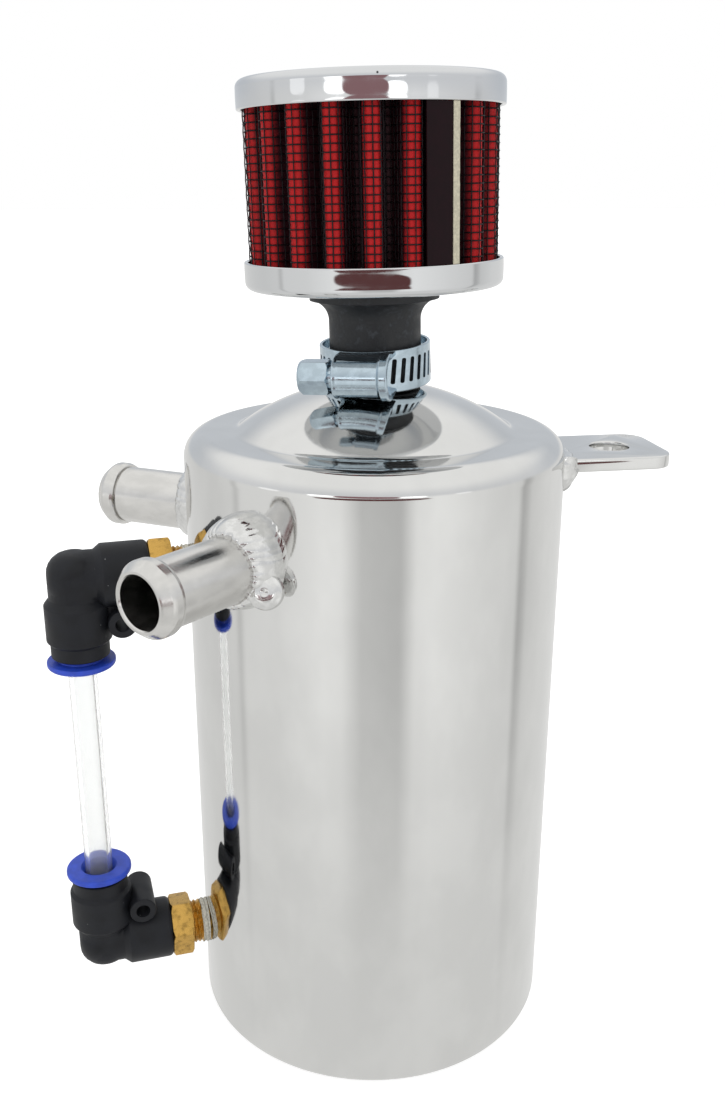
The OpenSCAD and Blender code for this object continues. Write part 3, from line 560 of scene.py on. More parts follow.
class Finish(Nodes):
    """One material, with patterns measured in millimetres in the piece's own place."""

    def __init__(self, name, base, metallic=0.0, roughness=0.5, place=None):
        self.colour = base
        self.material = bpy.data.materials.new(name)
        self.material.use_nodes = True
        super().__init__(self.material.node_tree)
        self.shader = self.tree.nodes["Principled BSDF"]
        self.shader.inputs["Base Color"].default_value = (*base, 1)
        self.shader.inputs["Metallic"].default_value = metallic
        self.shader.inputs["Roughness"].default_value = roughness
        coordinates = self.node("ShaderNodeTexCoord")
        self.place = self.node("ShaderNodeMapping", vector_type="TEXTURE")
        if place:
            self.place.inputs["Location"].default_value = place.to_translation() * MM
            self.place.inputs["Rotation"].default_value = place.to_euler()
        self.place.inputs["Scale"].default_value = (MM, MM, MM)
        self.link(coordinates.outputs["Object"], self.place.inputs["Vector"])

    def stretched(self, scale):
        mapping = self.node("ShaderNodeMapping", vector_type="POINT")
        mapping.inputs["Scale"].default_value = scale
        self.link(self.place.outputs["Vector"], mapping.inputs["Vector"])
        return mapping.outputs["Vector"]

    def noise(self, scale, stretch=(1, 1, 1), detail=2.0, roughness=0.5):
        made = self.node("ShaderNodeTexNoise")
        made.inputs["Scale"].default_value = scale
        made.inputs["Detail"].default_value = detail
        made.inputs["Roughness"].default_value = roughness
        self.link(self.stretched(stretch), made.inputs["Vector"])
        return made.outputs["Fac"]

    def specks(self, scale, edge, centre, rarity):
        """Small dots, one in a few of the cells of a pattern."""
        made = self.node("ShaderNodeTexVoronoi")
        made.inputs["Scale"].default_value = scale
        self.link(self.place.outputs["Vector"], made.inputs["Vector"])
        dot = self.between(made.outputs["Distance"], edge, centre)
        return self.math("MULTIPLY", dot, self.between(made.outputs["Color"], *rarity))

    def attribute(self, name):
        return self.node("ShaderNodeAttribute", attribute_name=name).outputs["Fac"]

    def toned(self, pattern, start, end, low=0.35, high=0.7):
        """The base colour times a share that runs from start to end along a pattern."""
        shares = [tuple(min(1, c * share) for c in self.colour) for share in (start, end)]
        return self.mixed(self.between(pattern, low, high), *shares)

    def base(self, value):
        self.feed(self.shader.inputs["Base Color"], value)

    def roughness(self, pattern, start, end, low=0.3, high=0.7):
        self.feed(self.shader.inputs["Roughness"], self.between(pattern, low, high, start, end))

    def shine(self, level):
        self.shader.inputs["Specular IOR Level"].default_value = level

    def bump(self, height, strength, distance):
        made = self.node("ShaderNodeBump")
        made.inputs["Strength"].default_value = strength
        made.inputs["Distance"].default_value = distance * MM
        self.link(height, made.inputs["Height"])
        if self.shader.inputs["Normal"].is_linked:
            self.link(self.shader.inputs["Normal"].links[0].from_socket, made.inputs["Normal"])
        self.link(made.outputs["Normal"], self.shader.inputs["Normal"])


def polished_aluminium(base):
    """Bright aluminium with fine upright brushing and faint clouds."""
    finish = Finish("polished_aluminium", base, 1, 0.06)
    brushing = finish.noise(1.0, (9, 9, 0.12), 3, 0.6)
    clouds = finish.noise(0.09, (1, 1, 0.6), 3)
    finish.base(finish.toned(clouds, 0.97, 1.03))
    finish.roughness(finish.blended(brushing, clouds, 0.5), 0.03, 0.10)
    finish.bump(brushing, 0.06, 0.02)
    return finish.material


def weld_metal(base):
    """Bright weld bead, a little uneven."""
    finish = Finish("weld_metal", base, 1, 0.16)
    patches = finish.noise(0.7, detail=3)
    finish.base(finish.toned(patches, 0.9, 1.03, 0.4, 0.65))
    finish.roughness(patches, 0.06, 0.16)
    finish.bump(finish.noise(1.6), 0.2, 0.12)
    return finish.material


def turned_aluminium(name, base, place):
    """Satin aluminium with fine turning lines round the hose tail."""
    finish = Finish(name, base, 1, 0.2, place)
    lines = finish.noise(1.0, (0.15, 0.15, 11), 2, 0.6)
    wear = finish.noise(0.35, (1, 1, 0.5), 3)
    finish.base(finish.toned(wear, 0.93, 1.04))
    finish.roughness(finish.blended(lines, wear, 0.4), 0.14, 0.27)
    finish.bump(lines, 0.05, 0.02)
    return finish.material


def brass(base):
    """Machined brass with a little tarnish."""
    finish = Finish("brass", base, 1, 0.25)
    tarnish = finish.noise(0.8, detail=4)
    fine = finish.noise(6)
    finish.base(finish.toned(tarnish, 1.08, 0.62, 0.45, 0.75))
    finish.roughness(fine, 0.2, 0.36)
    finish.bump(fine, 0.1, 0.03)
    return finish.material


def sealing_tape(base):
    """Thin fibrous white tape, rubbed into the thread."""
    finish = Finish("sealing_tape", base, 0, 0.7)
    threads = finish.noise(2.2, detail=3)
    finish.base(finish.toned(threads, 1, 0.55, 0.45, 0.75))
    finish.bump(threads, 0.4, 0.15)
    return finish.material


def black_plastic(base):
    """Matt moulded plastic with dust specks."""
    finish = Finish("black_plastic", base, 0, 0.5)
    finish.shine(0.28)
    cloud = finish.noise(0.25)
    dust = finish.specks(0.45, 0.07, 0.035, (0.62, 0.66))
    finish.base(finish.mixed(dust, finish.toned(cloud, 0.8, 1.35, 0.3), (0.25, 0.26, 0.26)))
    finish.roughness(cloud, 0.42, 0.56)
    finish.bump(finish.noise(4, detail=3), 0.12, 0.06)
    return finish.material


def blue_plastic(base):
    """Smooth moulded plastic."""
    finish = Finish("blue_plastic", base, 0, 0.38)
    finish.base(finish.toned(finish.noise(0.4), 0.88, 1.1, 0.3))
    finish.roughness(finish.noise(3), 0.33, 0.45)
    finish.bump(finish.noise(2.5), 0.06, 0.05)
    return finish.material


def clear_tube():
    """Clear, faintly cloudy tube."""
    finish = Finish("clear_tube", (0.94, 0.945, 0.94), 0, 0.08)
    finish.shader.inputs["Transmission Weight"].default_value = 0.92
    finish.shader.inputs["IOR"].default_value = 1.4
    finish.roughness(finish.noise(0.8, (1, 1, 0.15), 3), 0.05, 0.16)
    finish.bump(finish.noise(0.6, (1, 1, 0.1)), 0.05, 0.05)
    return finish.material


def neck_rubber(base):
    """Matt rubber with pale rubbed patches."""
    finish = Finish("neck_rubber", base, 0, 0.55)
    rubbed = finish.noise(0.45, detail=4, roughness=0.65)
    finish.base(finish.toned(rubbed, 0.8, 2.6, 0.5, 0.72))
    finish.roughness(rubbed, 0.5, 0.68, 0.35)
    finish.bump(finish.noise(1.6, detail=4), 0.3, 0.12)
    return finish.material


def chrome(base, place):
    """Bright chrome with a faint haze and a few dark pits."""
    finish = Finish("chrome", base, 1, 0.04, place)
    pits = finish.specks(0.16, 0.055, 0.03, (0.66, 0.68))
    finish.base(finish.mixed(pits, base, (0.02, 0.02, 0.02)))
    finish.roughness(finish.noise(0.3, detail=3), 0.03, 0.09, 0.35, 0.75)
    finish.bump(finish.noise(0.5, (1, 1, 0.6), 3), 0.05, 0.06)
    return finish.material


def filter_cloth(crest, valley):
    """Oiled red gauze with painted shade, near-black deep in its folds and red on the crests. The piece
    carries how far out each point lies.
    """
    finish = Finish("filter_cloth", crest, 0, 0.45)
    finish.shine(0.2)
    mottle = finish.noise(1.4, detail=3)
    out = finish.math("ADD", finish.attribute("fold"), finish.math("MULTIPLY", mottle, 0.25))
    # Painted shade: the deeper a point lies in the pleats, the more the near-black valley colour replaces the
    # red, with noise breaking up the edge.
    finish.base(finish.mixed(finish.between(out, 0.72, 1.12), valley, crest))
    finish.roughness(mottle, 0.45, 0.65)
    finish.bump(finish.noise(5), 0.3, 0.08)
    return finish.material


def plain_finish(name, base, metallic, rough, grain=2.0, shine=0.5):
    """A simple finish with a little grain, for pieces that hardly show."""
    finish = Finish(name, base, metallic, rough)
    finish.shine(shine)
    cloud = finish.noise(grain, detail=3)
    finish.base(finish.toned(cloud, 0.85, 1.1))
    finish.roughness(cloud, rough * 0.85, min(1, rough * 1.15))
    finish.bump(finish.noise(grain * 3), 0.12, 0.04)
    return finish.material


def zinc_plate(base):
    """Bluish zinc plating over rolled sheet."""
    finish = Finish("zinc_plate", base, 1, 0.13)
    cloud = finish.noise(0.6, detail=3)
    finish.base(finish.toned(cloud, 0.9, 1.08))
    finish.roughness(cloud, 0.09, 0.2)
    finish.bump(finish.noise(3, detail=3), 0.12, 0.04)
    return finish.material


# Operators

class BuildStudio(bpy.types.Operator):
    """Makes the floor, the backdrop, the lamps and the camera"""

    bl_idname = "catch_can.studio"
    bl_label = "Studio"

    def execute(self, context):
        scene = context.scene
        scene.view_settings.view_transform = "Standard"
        facing = 259.5
        self.surroundings(scene, facing)
        self.floor(scene)
        self.lamp(scene, "left_lamp", facing - 40, distance=1.3, height=0.7, size=0.5, radiance=0.9)
        self.lamp(scene, "right_lamp", facing + 35, distance=1.3, height=0.5, size=0.5, radiance=0.6)
        self.camera(scene, facing)
        return {"FINISHED"}

    def surroundings(self, scene, facing):
        """The room that the metal reflects. The camera sees plain white instead, through the tube too."""
        world = bpy.data.worlds.new("studio")
        scene.world = world
        world.use_nodes = True
        world.node_tree.nodes.clear()
        room = Nodes(world.node_tree)
        inside = room.node("ShaderNodeBackground")
        room.link(self.room_colour(room, facing), inside.inputs["Color"])
        white = room.node("ShaderNodeBackground")
        white.inputs["Color"].default_value = (1, 1, 1, 1)
        mix = room.node("ShaderNodeMixShader")
        room.link(self.seen(room), mix.inputs["Fac"])
        room.link(inside.outputs["Background"], mix.inputs[1])
        room.link(white.outputs["Background"], mix.inputs[2])
        room.link(mix.outputs["Shader"], room.node("ShaderNodeOutputWorld").inputs["Surface"])

    def seen(self, tree):
        """One for what the camera sees straight or through clear pieces, otherwise zero."""
        path = tree.node("ShaderNodeLightPath")
        return tree.math("MAXIMUM", path.outputs["Is Camera Ray"], path.outputs["Is Transmission Ray"])

    def room_colour(self, room, facing):
        """Colours by height, from -1 to 1, and by the angle from behind the camera, in degrees."""
        direction = room.node("ShaderNodeTexCoord").outputs["Generated"]
        ahead = Vector((1, 0, 0))
        up = room.along(direction, (0, 0, 1))
        viewer = room.along(direction, turn(facing, "Z") @ ahead)
        beside = room.along(direction, turn(facing + 90, "Z") @ ahead)
        around = room.math("MULTIPLY", room.math("ARCTAN2", beside, viewer), 180 / math.pi)
        walls = self.profile(room, around, (
            (-180, 0.80), (-112, 0.76), (-92, 0.80), (-88, 0.62), (-84, 0.84), (-60, 0.86), (-30, 1.02),
            (-19, 0.98), (-7, 0.66), (16, 0.60), (25, 0.96), (36, 1.02), (70, 0.88), (94, 0.80), (98, 0.52),
            (102, 0.60), (106, 0.74), (125, 0.84), (180, 0.80)))
        low = room.mixed(room.between(up, -0.70, -0.34), (0.80, 0.80, 0.79), walls)
        ceiling = room.mixed(room.between(up, 0.12, 0.75), (0.78, 0.79, 0.81), (1.0, 1.0, 0.99))
        colour = room.mixed(room.between(up, -0.02, 0.16), low, ceiling)
        behind = room.math("MULTIPLY", room.between(viewer, -0.1, -0.9), room.between(up, 0.60, 0.28))
        behind = room.math("MULTIPLY", behind, room.between(up, -0.05, 0.1))
        colour = room.mixed(behind, colour, (0.62, 0.65, 0.69))
        # Bright windows on both sides of the camera, and dark reddish patches between and below them
        for degrees, width, strength in ((-28, 10, 1.0), (21, 9, 1.0), (-62, 7, 0.3), (52, 5, 0.2)):
            window = self.patch(room, around, up, (degrees, 0.065), (width, 0.05))
            colour = room.mixed(room.math("MULTIPLY", window, strength), colour, (1.9, 1.9, 1.9))
        between_windows = self.patch(room, around, up, (-4, 0.07), (19, 0.065))
        colour = room.mixed(between_windows, colour, (0.30, 0.17, 0.18))
        below_windows = self.patch(room, around, up, (-1, -0.095), (33, 0.062))
        return room.mixed(below_windows, colour, (0.13, 0.055, 0.055))

    def profile(self, room, around, stops):
        """Brightness of the walls between stops of (degrees, brightness)."""
        ramp = room.node("ShaderNodeValToRGB")
        room.link(room.math("ADD", room.math("DIVIDE", around, 360), 0.5), ramp.inputs["Fac"])
        elements = ramp.color_ramp.elements
        while len(elements) < len(stops):
            elements.new(0.5)
        for element, (degrees, value) in zip(elements, stops):
            element.position = degrees / 360 + 0.5
            element.color = (value, value, value * 0.99, 1)
        return ramp.outputs["Color"]

    def patch(self, room, around, up, middle, half):
        """A patch with round corners, from its middle and its half size, each in degrees and in height."""
        side = room.math("DIVIDE", room.math("SUBTRACT", around, middle[0]), half[0])
        rise = room.math("DIVIDE", room.math("SUBTRACT", up, middle[1]), half[1])
        away = room.math("ADD", room.math("POWER", room.math("ABSOLUTE", side), 3),
                         room.math("POWER", room.math("ABSOLUTE", rise), 3))
        return room.between(away, 1.15, 0.85)

    def floor(self, scene):
        """A white floor that keeps the can's shadow, and that metal doesn't reflect."""
        bm = bmesh.new()
        bmesh.ops.create_grid(bm, x_segments=1, y_segments=1, size=6)
        mesh = bpy.data.meshes.new("floor")
        bm.to_mesh(mesh)
        bm.free()
        floor = bpy.data.objects.new("floor", mesh)
        scene.collection.objects.link(floor)
        finish = Finish("white_floor", (0.9, 0.9, 0.9), 0, 0.9)
        finish.shine(0.1)
        finish.shader.inputs["Emission Color"].default_value = (1, 1, 1, 1)
        glow = finish.math("MULTIPLY", self.seen(finish), 0.5)
        finish.link(glow, finish.shader.inputs["Emission Strength"])
        floor.visible_glossy = False
        mesh.materials.append(finish.material)

    def lamp(self, scene, name, degrees, distance, height, size, radiance):
        """A soft lamp that faces the can, from its place and size in metres and the radiance of its face."""
        data = bpy.data.lights.new(name, "AREA")
        data.size = size
        data.energy = radiance * math.pi * size * size
        lamp = bpy.data.objects.new(name, data)
        a = math.radians(degrees)
        lamp.location = (distance * math.cos(a), distance * math.sin(a), height)
        aim = Vector((0, 0, 0.1)) - lamp.location
        lamp.rotation_euler = aim.to_track_quat("-Z", "Y").to_euler()
        lamp.visible_camera = False
        lamp.visible_glossy = False
        scene.collection.objects.link(lamp)

    def camera(self, scene, facing):
        """The photograph's view, close to the can and looking down a little. Lengths are in metres."""
        data = bpy.data.cameras.new("camera")
        data.lens = 36.29
        data.sensor_width = 36
        data.clip_start = 0.01
        data.clip_end = 20
        camera = bpy.data.objects.new("camera", data)
        away, height = 0.2332, 0.1866
        yaw, pitch, roll = -0.0103, 0.3294, 0.0034
        forward = Vector((math.sin(yaw) * math.cos(pitch), math.cos(yaw) * math.cos(pitch), -math.sin(pitch)))
        right = Vector((math.cos(yaw), -math.sin(yaw), 0))
        up = right.cross(forward)
        across = right * math.cos(roll) + up * math.sin(roll)
        upwards = up * math.cos(roll) - right * math.sin(roll)
        basis = Matrix((across, upwards, -forward)).transposed().to_4x4()
        camera.matrix_world = turn(facing - 270, "Z") @ Matrix.Translation((0, -away, height)) @ basis
        scene.collection.objects.link(camera)
        scene.camera = camera


class BuildTank(bpy.types.Operator):
    """Builds the polished tank: its wall, its domed top and its base"""

    bl_idname = "catch_can.tank"
    bl_label = "Tank"

    def execute(self, context):
        tank, tails, gauge = group("tank"), group("tails"), group("gauge")
        metal = polished_aluminium(context.scene.can_colours.aluminium)
        inner = tank.radius - tank.wall
        low = tank.base + tank.seam_drop
        high = tank.ring_height - tank.shoulder - tank.seam_drop
        wall = lathe([(inner, low), (tank.radius, low), (tank.radius, high), (inner, high)], 288)
        tools = []
        for degrees, drop in ((tails.front_angle, tails.front_drop), (tails.rear_angle, tails.rear_drop)):
            tools.append(placed(rod(tails.radius + 0.05, 20, 60), outwards(degrees, tank.ring_height - drop)))
        for height in (gauge.lower, tank.ring_height - gauge.upper_drop):
            tools.append(placed(rod(gauge.thread_radius + 0.05, 20, 60), outwards(gauge.direction, height)))
        wall = carved(wall, tools)
        piece = finished(wall, "tank_wall_polished", metal, ["tank_wall"])
        self.true_normals(piece.data)

        finished(lathe(self.top_outline(tank, inner, high), 288), "tank_top_polished", metal,
                 ["tank_top"])
        base = rounded([(0, 0), (tank.radius, 0, tank.heel), (tank.radius, low), (inner, low),
                        (inner, tank.base), (0, tank.base)], 12)
        finished(lathe(base, 288), "tank_base_polished", metal, ["tank_base"])
        return {"FINISHED"}

    def top_outline(self, tank, inner, high):
        """Profile of the pressed top, outside and inside."""
        crown, ball, centre, crown_radius = crown_height(tank)
        ring = tank.ring_height
        hollow_z = ring + tank.dome_hollow
        hollow_x = math.sqrt((ball + tank.dome_hollow) ** 2 - (hollow_z - centre) ** 2)
        lean = math.degrees(math.atan2(hollow_z - centre, hollow_x))
        crown_lean = math.degrees(math.acos(crown_radius / ball))
        hole = tank.spigot_radius + 0.05
        under = ring - tank.wall
        corner = tank.shoulder - tank.wall
        inner_ball = ball - tank.wall
        foot_lean = math.degrees(math.asin((under - centre) / inner_ball))
        hole_lean = math.degrees(math.acos(hole / inner_ball))
        outside = (
            [(tank.radius, high), (tank.radius, ring - tank.shoulder - 0.05)]
            + arc(tank.radius - tank.shoulder, ring - tank.shoulder, tank.shoulder, 0, 90, 20)
            + [(tank.radius - tank.shoulder - 0.05, ring), (hollow_x + 0.05, ring)]
            + arc(hollow_x, hollow_z, tank.dome_hollow, 270, 180 + lean, 12)
            + arc(0, centre, ball, lean + 0.3, crown_lean - 0.3, 24)
            + [(crown_radius + 0.1, crown + 0.01), (crown_radius - 0.1, crown), (hole, crown)])
        inside = (
            [(hole, centre + inner_ball * math.sin(math.radians(hole_lean)))]
            + arc(0, centre, inner_ball, hole_lean - 1, foot_lean, 16)
            + [(inner - corner, under)]
            + arc(inner - corner, under - corner, corner, 90, 0, 8)
            + [(inner, high)])
        return outside + inside

    def true_normals(self, mesh):
        """Gives the wall's round faces their exact normals, so that reflections stay smooth by the holes."""
        normals = [Vector((0, 0, 0))] * len(mesh.loops)
        for polygon in mesh.polygons:
            for index in polygon.loop_indices:
                spot = mesh.vertices[mesh.loops[index].vertex_index].co
                outward = Vector((spot.x, spot.y, 0)).normalized()
                if polygon.normal.dot(outward) > 0.999:
                    normals[index] = outward
        mesh.normals_split_custom_set(normals)


class BuildTails(bpy.types.Operator):
    """Builds the two hose tails and their rippled welds"""

    bl_idname = "catch_can.tails"
    bl_label = "Hose tails"

    def execute(self, context):
        tank, tails = group("tank"), group("tails")
        metal = weld_metal(context.scene.can_colours.weld)
        front_end, rear_end = 51, 220
        for side, degrees, drop, end in (("front", tails.front_angle, tails.front_drop, front_end),
                                         ("rear", tails.rear_angle, tails.rear_drop, rear_end)):
            place = outwards(degrees, tank.ring_height - drop)
            turned = turned_aluminium(side + "_turned_aluminium", context.scene.can_colours.turned, place)
            finished(lathe(self.tail_outline(tank, tails), 160), side + "_port_turned", turned,
                     [side + "_port"], place)
            finished(joined(self.weld(tank, tails, end), self.weld_stop(tank, tails, end)),
                     side + "_port_weld_rippled", metal, [side + "_port_weld"], place, sharp=60)
        return {"FINISHED"}

    def tail_outline(self, tank, tails):
        """Profile of a hose tail along its own axis."""
        start = tank.radius - tank.wall - 3
        mouth = tank.radius + tails.out
        bead = mouth - tails.bead_length
        groove = 0.3
        return rounded([
            (tails.bore, start), (tails.radius, start, 0.2),
            (tails.radius, bead - 0.35, 0.05), (tails.radius - groove, bead - 0.2, 0.05),
            (tails.radius - groove, bead, 0.05), (tails.radius + 0.45, bead + 0.02, 0.25),
            (tails.bead_radius, bead + 0.9, 0.8), (tails.bead_radius, mouth - tails.nose, 1.4),
            (tails.bore + 0.95, mouth - 0.25, 0.9), (tails.bore + 0.7, mouth, 0.12),
            (tails.bore + 0.25, mouth, 0.1), (tails.bore, mouth - 0.35, 0.1)], 5)

    def weld(self, tank, tails, end):
        """A fat ring of uneven, overlapping ripples round the foot of the hose tail."""
        count = round(2 * math.pi * (tails.radius + tails.weld_reach) / tails.weld_step)

        def shape(around, section):
            c, s = math.cos(around), math.sin(around)
            out, up = math.cos(section), math.sin(section)
            swell = 1 + 0.07 * ripple(2 * c, 2 * s, end)
            phase = count * around / (2 * math.pi) + 0.7 * ripple(2 * c, 2 * s, end + 5) + 0.6 * out * out
            scale = swell * (0.965 + 0.045 * abs(math.cos(math.pi * phase)) ** 0.6)
            scale += 0.025 * ripple(5 * c, 5 * s, 1.5 * section + end)
            reach = tails.weld_reach + (tails.weld_top - tails.weld_reach) * max(0, -c) ** 2
            radius = max(tails.radius + reach * (0.15 + 0.85 * out) * scale, tails.radius - 0.4)
            x, y = radius * c, radius * s
            surface = math.sqrt(tank.radius ** 2 - y ** 2)
            return Vector((x, y, surface + max(tails.weld_height * up * scale, -0.9)))

        return torus(count * 18, 48, shape)

    def weld_stop(self, tank, tails, end):
        """The round pool of metal where the weld ends, with its rings and small pit."""
        radius, ring_depth = tails.weld_end, 0.07
        pit_radius, pit_depth = 0.8, 0.7
        flatness, stand_out = 0.65, 3.3
        rows = 64
        outline = [(0, -radius)]
        for i in range(1, rows + 1):
            a = math.pi * i / rows
            ring = ring_depth * math.cos(11 * (math.pi - a)) if a > 1.4 else 0
            outline.append(((radius + ring) * math.sin(a), -(radius + ring) * math.cos(a)))
        outline[-1] = (0, outline[-1][1])
        bm = lathe(outline, 96)
        for v in bm.verts:
            from_pit = math.hypot(v.co.x, v.co.y)
            if v.co.z > 0 and from_pit < pit_radius:
                v.co.z -= pit_depth * (1 - from_pit / pit_radius) ** 0.8
        bmesh.ops.scale(bm, vec=(1, 1, flatness), verts=bm.verts)
        a = math.radians(end)
        outward = Vector((math.cos(a), math.sin(a), 0))
        onward = Vector((-math.sin(a), math.cos(a), 0))
        along = Vector((0, 0, 1))
        axis = 0.24 * outward + 0.58 * onward + 0.78 * along
        spot = (tails.radius + radius / 8) * outward + (tank.radius + radius / 8) * along + stand_out * axis
        return placed(bm, move(*spot) @ along.rotation_difference(axis).to_matrix().to_4x4())


class BuildBracket(bpy.types.Operator):
    """Builds the mounting bracket and the weld round its root"""

    bl_idname = "catch_can.bracket"
    bl_label = "Bracket"

    def execute(self, context):
        tank = group("tank")
        top = tank.ring_height - tank.bracket_drop
        low = top - tank.bracket_sheet
        half = tank.bracket_width / 2
        reach = tank.radius + tank.bracket_out
        corner = tank.bracket_corner
        root = math.degrees(math.asin(half / tank.radius))
        outline = arc(0, 0, tank.radius + 0.02, root, -root, 16)
        outline += arc(reach - corner, corner - half, corner, -90, 0, 10)
        outline += arc(reach - corner, half - corner, corner, 0, 90, 10)
        hole = placed(rod(tank.hole_radius, -5, 5, 72), move(tank.radius + tank.hole_out, 0, top))
        plate = carved(prism(outline, low, top), [hole])
        soften(plate, 0.32, 3, 50)
        metal = polished_aluminium(context.scene.can_colours.aluminium)
        finished(plate, "bracket_polished", metal, ["bracket"], sharp=60)
        finished(self.weld(tank, low, top, half), "bracket_weld_polished",
                 weld_metal(context.scene.can_colours.weld), ["bracket_weld"], sharp=70)
        return {"FINISHED"}

    def weld(self, tank, low, top, half):
        """A lumpy bead all round the bracket's root, deepest under the plate."""
        middle = (low + top) / 2
        down, above, beside = tank.bracket_weld_down, 0.7, 1.9
        reach_down, reach_above, reach_beside = 2.6, 2.2, 3.0

        def shape(around, section):
            c, s = math.cos(around), math.sin(around)
            square = max(abs(c), abs(s))
            y = half * min(1, max(-1, c / square))
            z = middle + (top - middle) * min(1, max(-1, s / square))
            lump = 1 + 0.16 * ripple(y * 0.55, z * 0.9, section * 0.8)
            lump += 0.08 * ripple(y * 1.7, z * 2, section * 2)
            under = max(0, -s / square) if abs(s) >= abs(c) else 0
            over = max(0, s / square) if abs(s) >= abs(c) else 0
            side = max(0, 1 - under - over)
            reach = reach_down * under + reach_above * over + reach_beside * side
            grow = down * under + above * over + beside * side
            out = math.sin(section) * reach * lump
            away = max(math.cos(section) * grow * lump, -0.6)
            direction = Vector((c * (0.2 + side), s)).normalized()
            y += direction.x * away
            z += direction.y * away
            surface = math.sqrt(tank.radius ** 2 - y ** 2)
            return Vector((surface + max(out, -0.7), y, z))

        return torus(220, 28, shape)


class BuildStuds(bpy.types.Operator):
    """Builds the brass studs with their threads and sealing tape"""

    bl_idname = "catch_can.studs"
    bl_label = "Studs"

    def execute(self, context):
        gauge, tank = group("gauge"), group("tank")
        metal = brass(context.scene.can_colours.brass)
        tape = sealing_tape(context.scene.can_colours.tape)
        for side, upper, hex_turn in (("upper", True, 2), ("lower", False, 42)):
            place = fitting(upper) @ turn(90, "Y")
            finished(self.stud(tank, gauge, hex_turn), side + "_stud_threaded", metal,
                     [side + "_stud"], place)
            finished(self.tape(tank, gauge, upper), side + "_thread_tape_rubbed", tape,
                     [side + "_thread_tape"], place, sharp=70)
        return {"FINISHED"}

    thread_depth = 0.42

    def thread_cut(self, gauge, spot):
        """Depth of the thread's groove at a point, in millimetres."""
        phase = spot.z / gauge.thread_pitch - math.atan2(spot.y, spot.x) / (2 * math.pi)
        return self.thread_depth * abs(2 * (phase - math.floor(phase)) - 1)

    def stud(self, tank, gauge, hex_turn):
        """Threaded end, hexagon and shank, as one piece."""
        hex_start = tank.radius + gauge.out - gauge.stud_arm - gauge.hexagon_length
        hex_end = hex_start + gauge.hexagon_length
        thread_start = tank.radius - tank.wall - 6
        thread_end = hex_start - 0.3
        bore, shank_radius = 2.2, 3.5
        relief = gauge.thread_radius - 0.3
        rows = int((thread_end - thread_start) / 0.07)
        outline = [(gauge.thread_radius - self.thread_depth, thread_start)]
        outline += [(gauge.thread_radius, thread_start + (thread_end - thread_start) * i / rows)
                    for i in range(1, rows)]
        outline += [(relief, thread_end), (relief, hex_start + 1),
                    (bore, hex_start + 1), (bore, thread_start)]
        thread = lathe(outline, 96)
        for v in thread.verts:
            if math.hypot(v.co.x, v.co.y) > gauge.thread_radius - 0.05:
                drawn_in(v, self.thread_cut(gauge, v.co))
        nut, corner = hexagon(gauge.hexagon, hex_start, hex_end)
        placed(nut, turn(hex_turn + 30, "Z"))
        slope = corner - 0.6
        cone = lathe([(0, hex_start), (slope, hex_start), (corner + 0.1, hex_start + 0.45),
                      (corner + 0.1, hex_end - 0.45), (slope, hex_end), (0, hex_end)], 96)
        nut = soften(carved(nut, [cone], "INTERSECT"), 0.12, 2, 40)
        nut = carved(nut, [rod(bore, hex_start - 2, hex_end + 2)])
        shank_end = hex_end + 8.5
        shank = lathe(rounded([(bore, hex_end - 1), (shank_radius, hex_end - 1),
                               (shank_radius, shank_end, 0.3), (bore, shank_end)], 4), 64)
        return joined(thread, nut, shank)

    def tape(self, tank, gauge, upper):
        """A ragged wrap of tape that follows the thread."""
        start, end = tank.radius + 0.06, tank.radius + gauge.tape_width
        rows = 34
        outer = gauge.thread_radius + 0.16
        outline = [(gauge.thread_radius - 0.5, start)]
        outline += [(outer, start + (end - start) * i / rows) for i in range(rows + 1)]
        outline += [(gauge.thread_radius - 0.5, end)]
        bm = lathe(outline, 120)
        for v in bm.verts:
            around = math.atan2(v.co.y, v.co.x)
            if math.hypot(v.co.x, v.co.y) > gauge.thread_radius - 0.3:
                wrinkle = 0.08 * ripple(4 * math.cos(around), 4 * math.sin(around), v.co.z * 2 + upper)
                drawn_in(v, 0.65 * self.thread_cut(gauge, v.co) + wrinkle)
            if v.co.z > end - 0.01:
                v.co.z += 0.25 * ripple(2.2 * math.cos(around), 2.2 * math.sin(around), 5 + upper)
        return bm


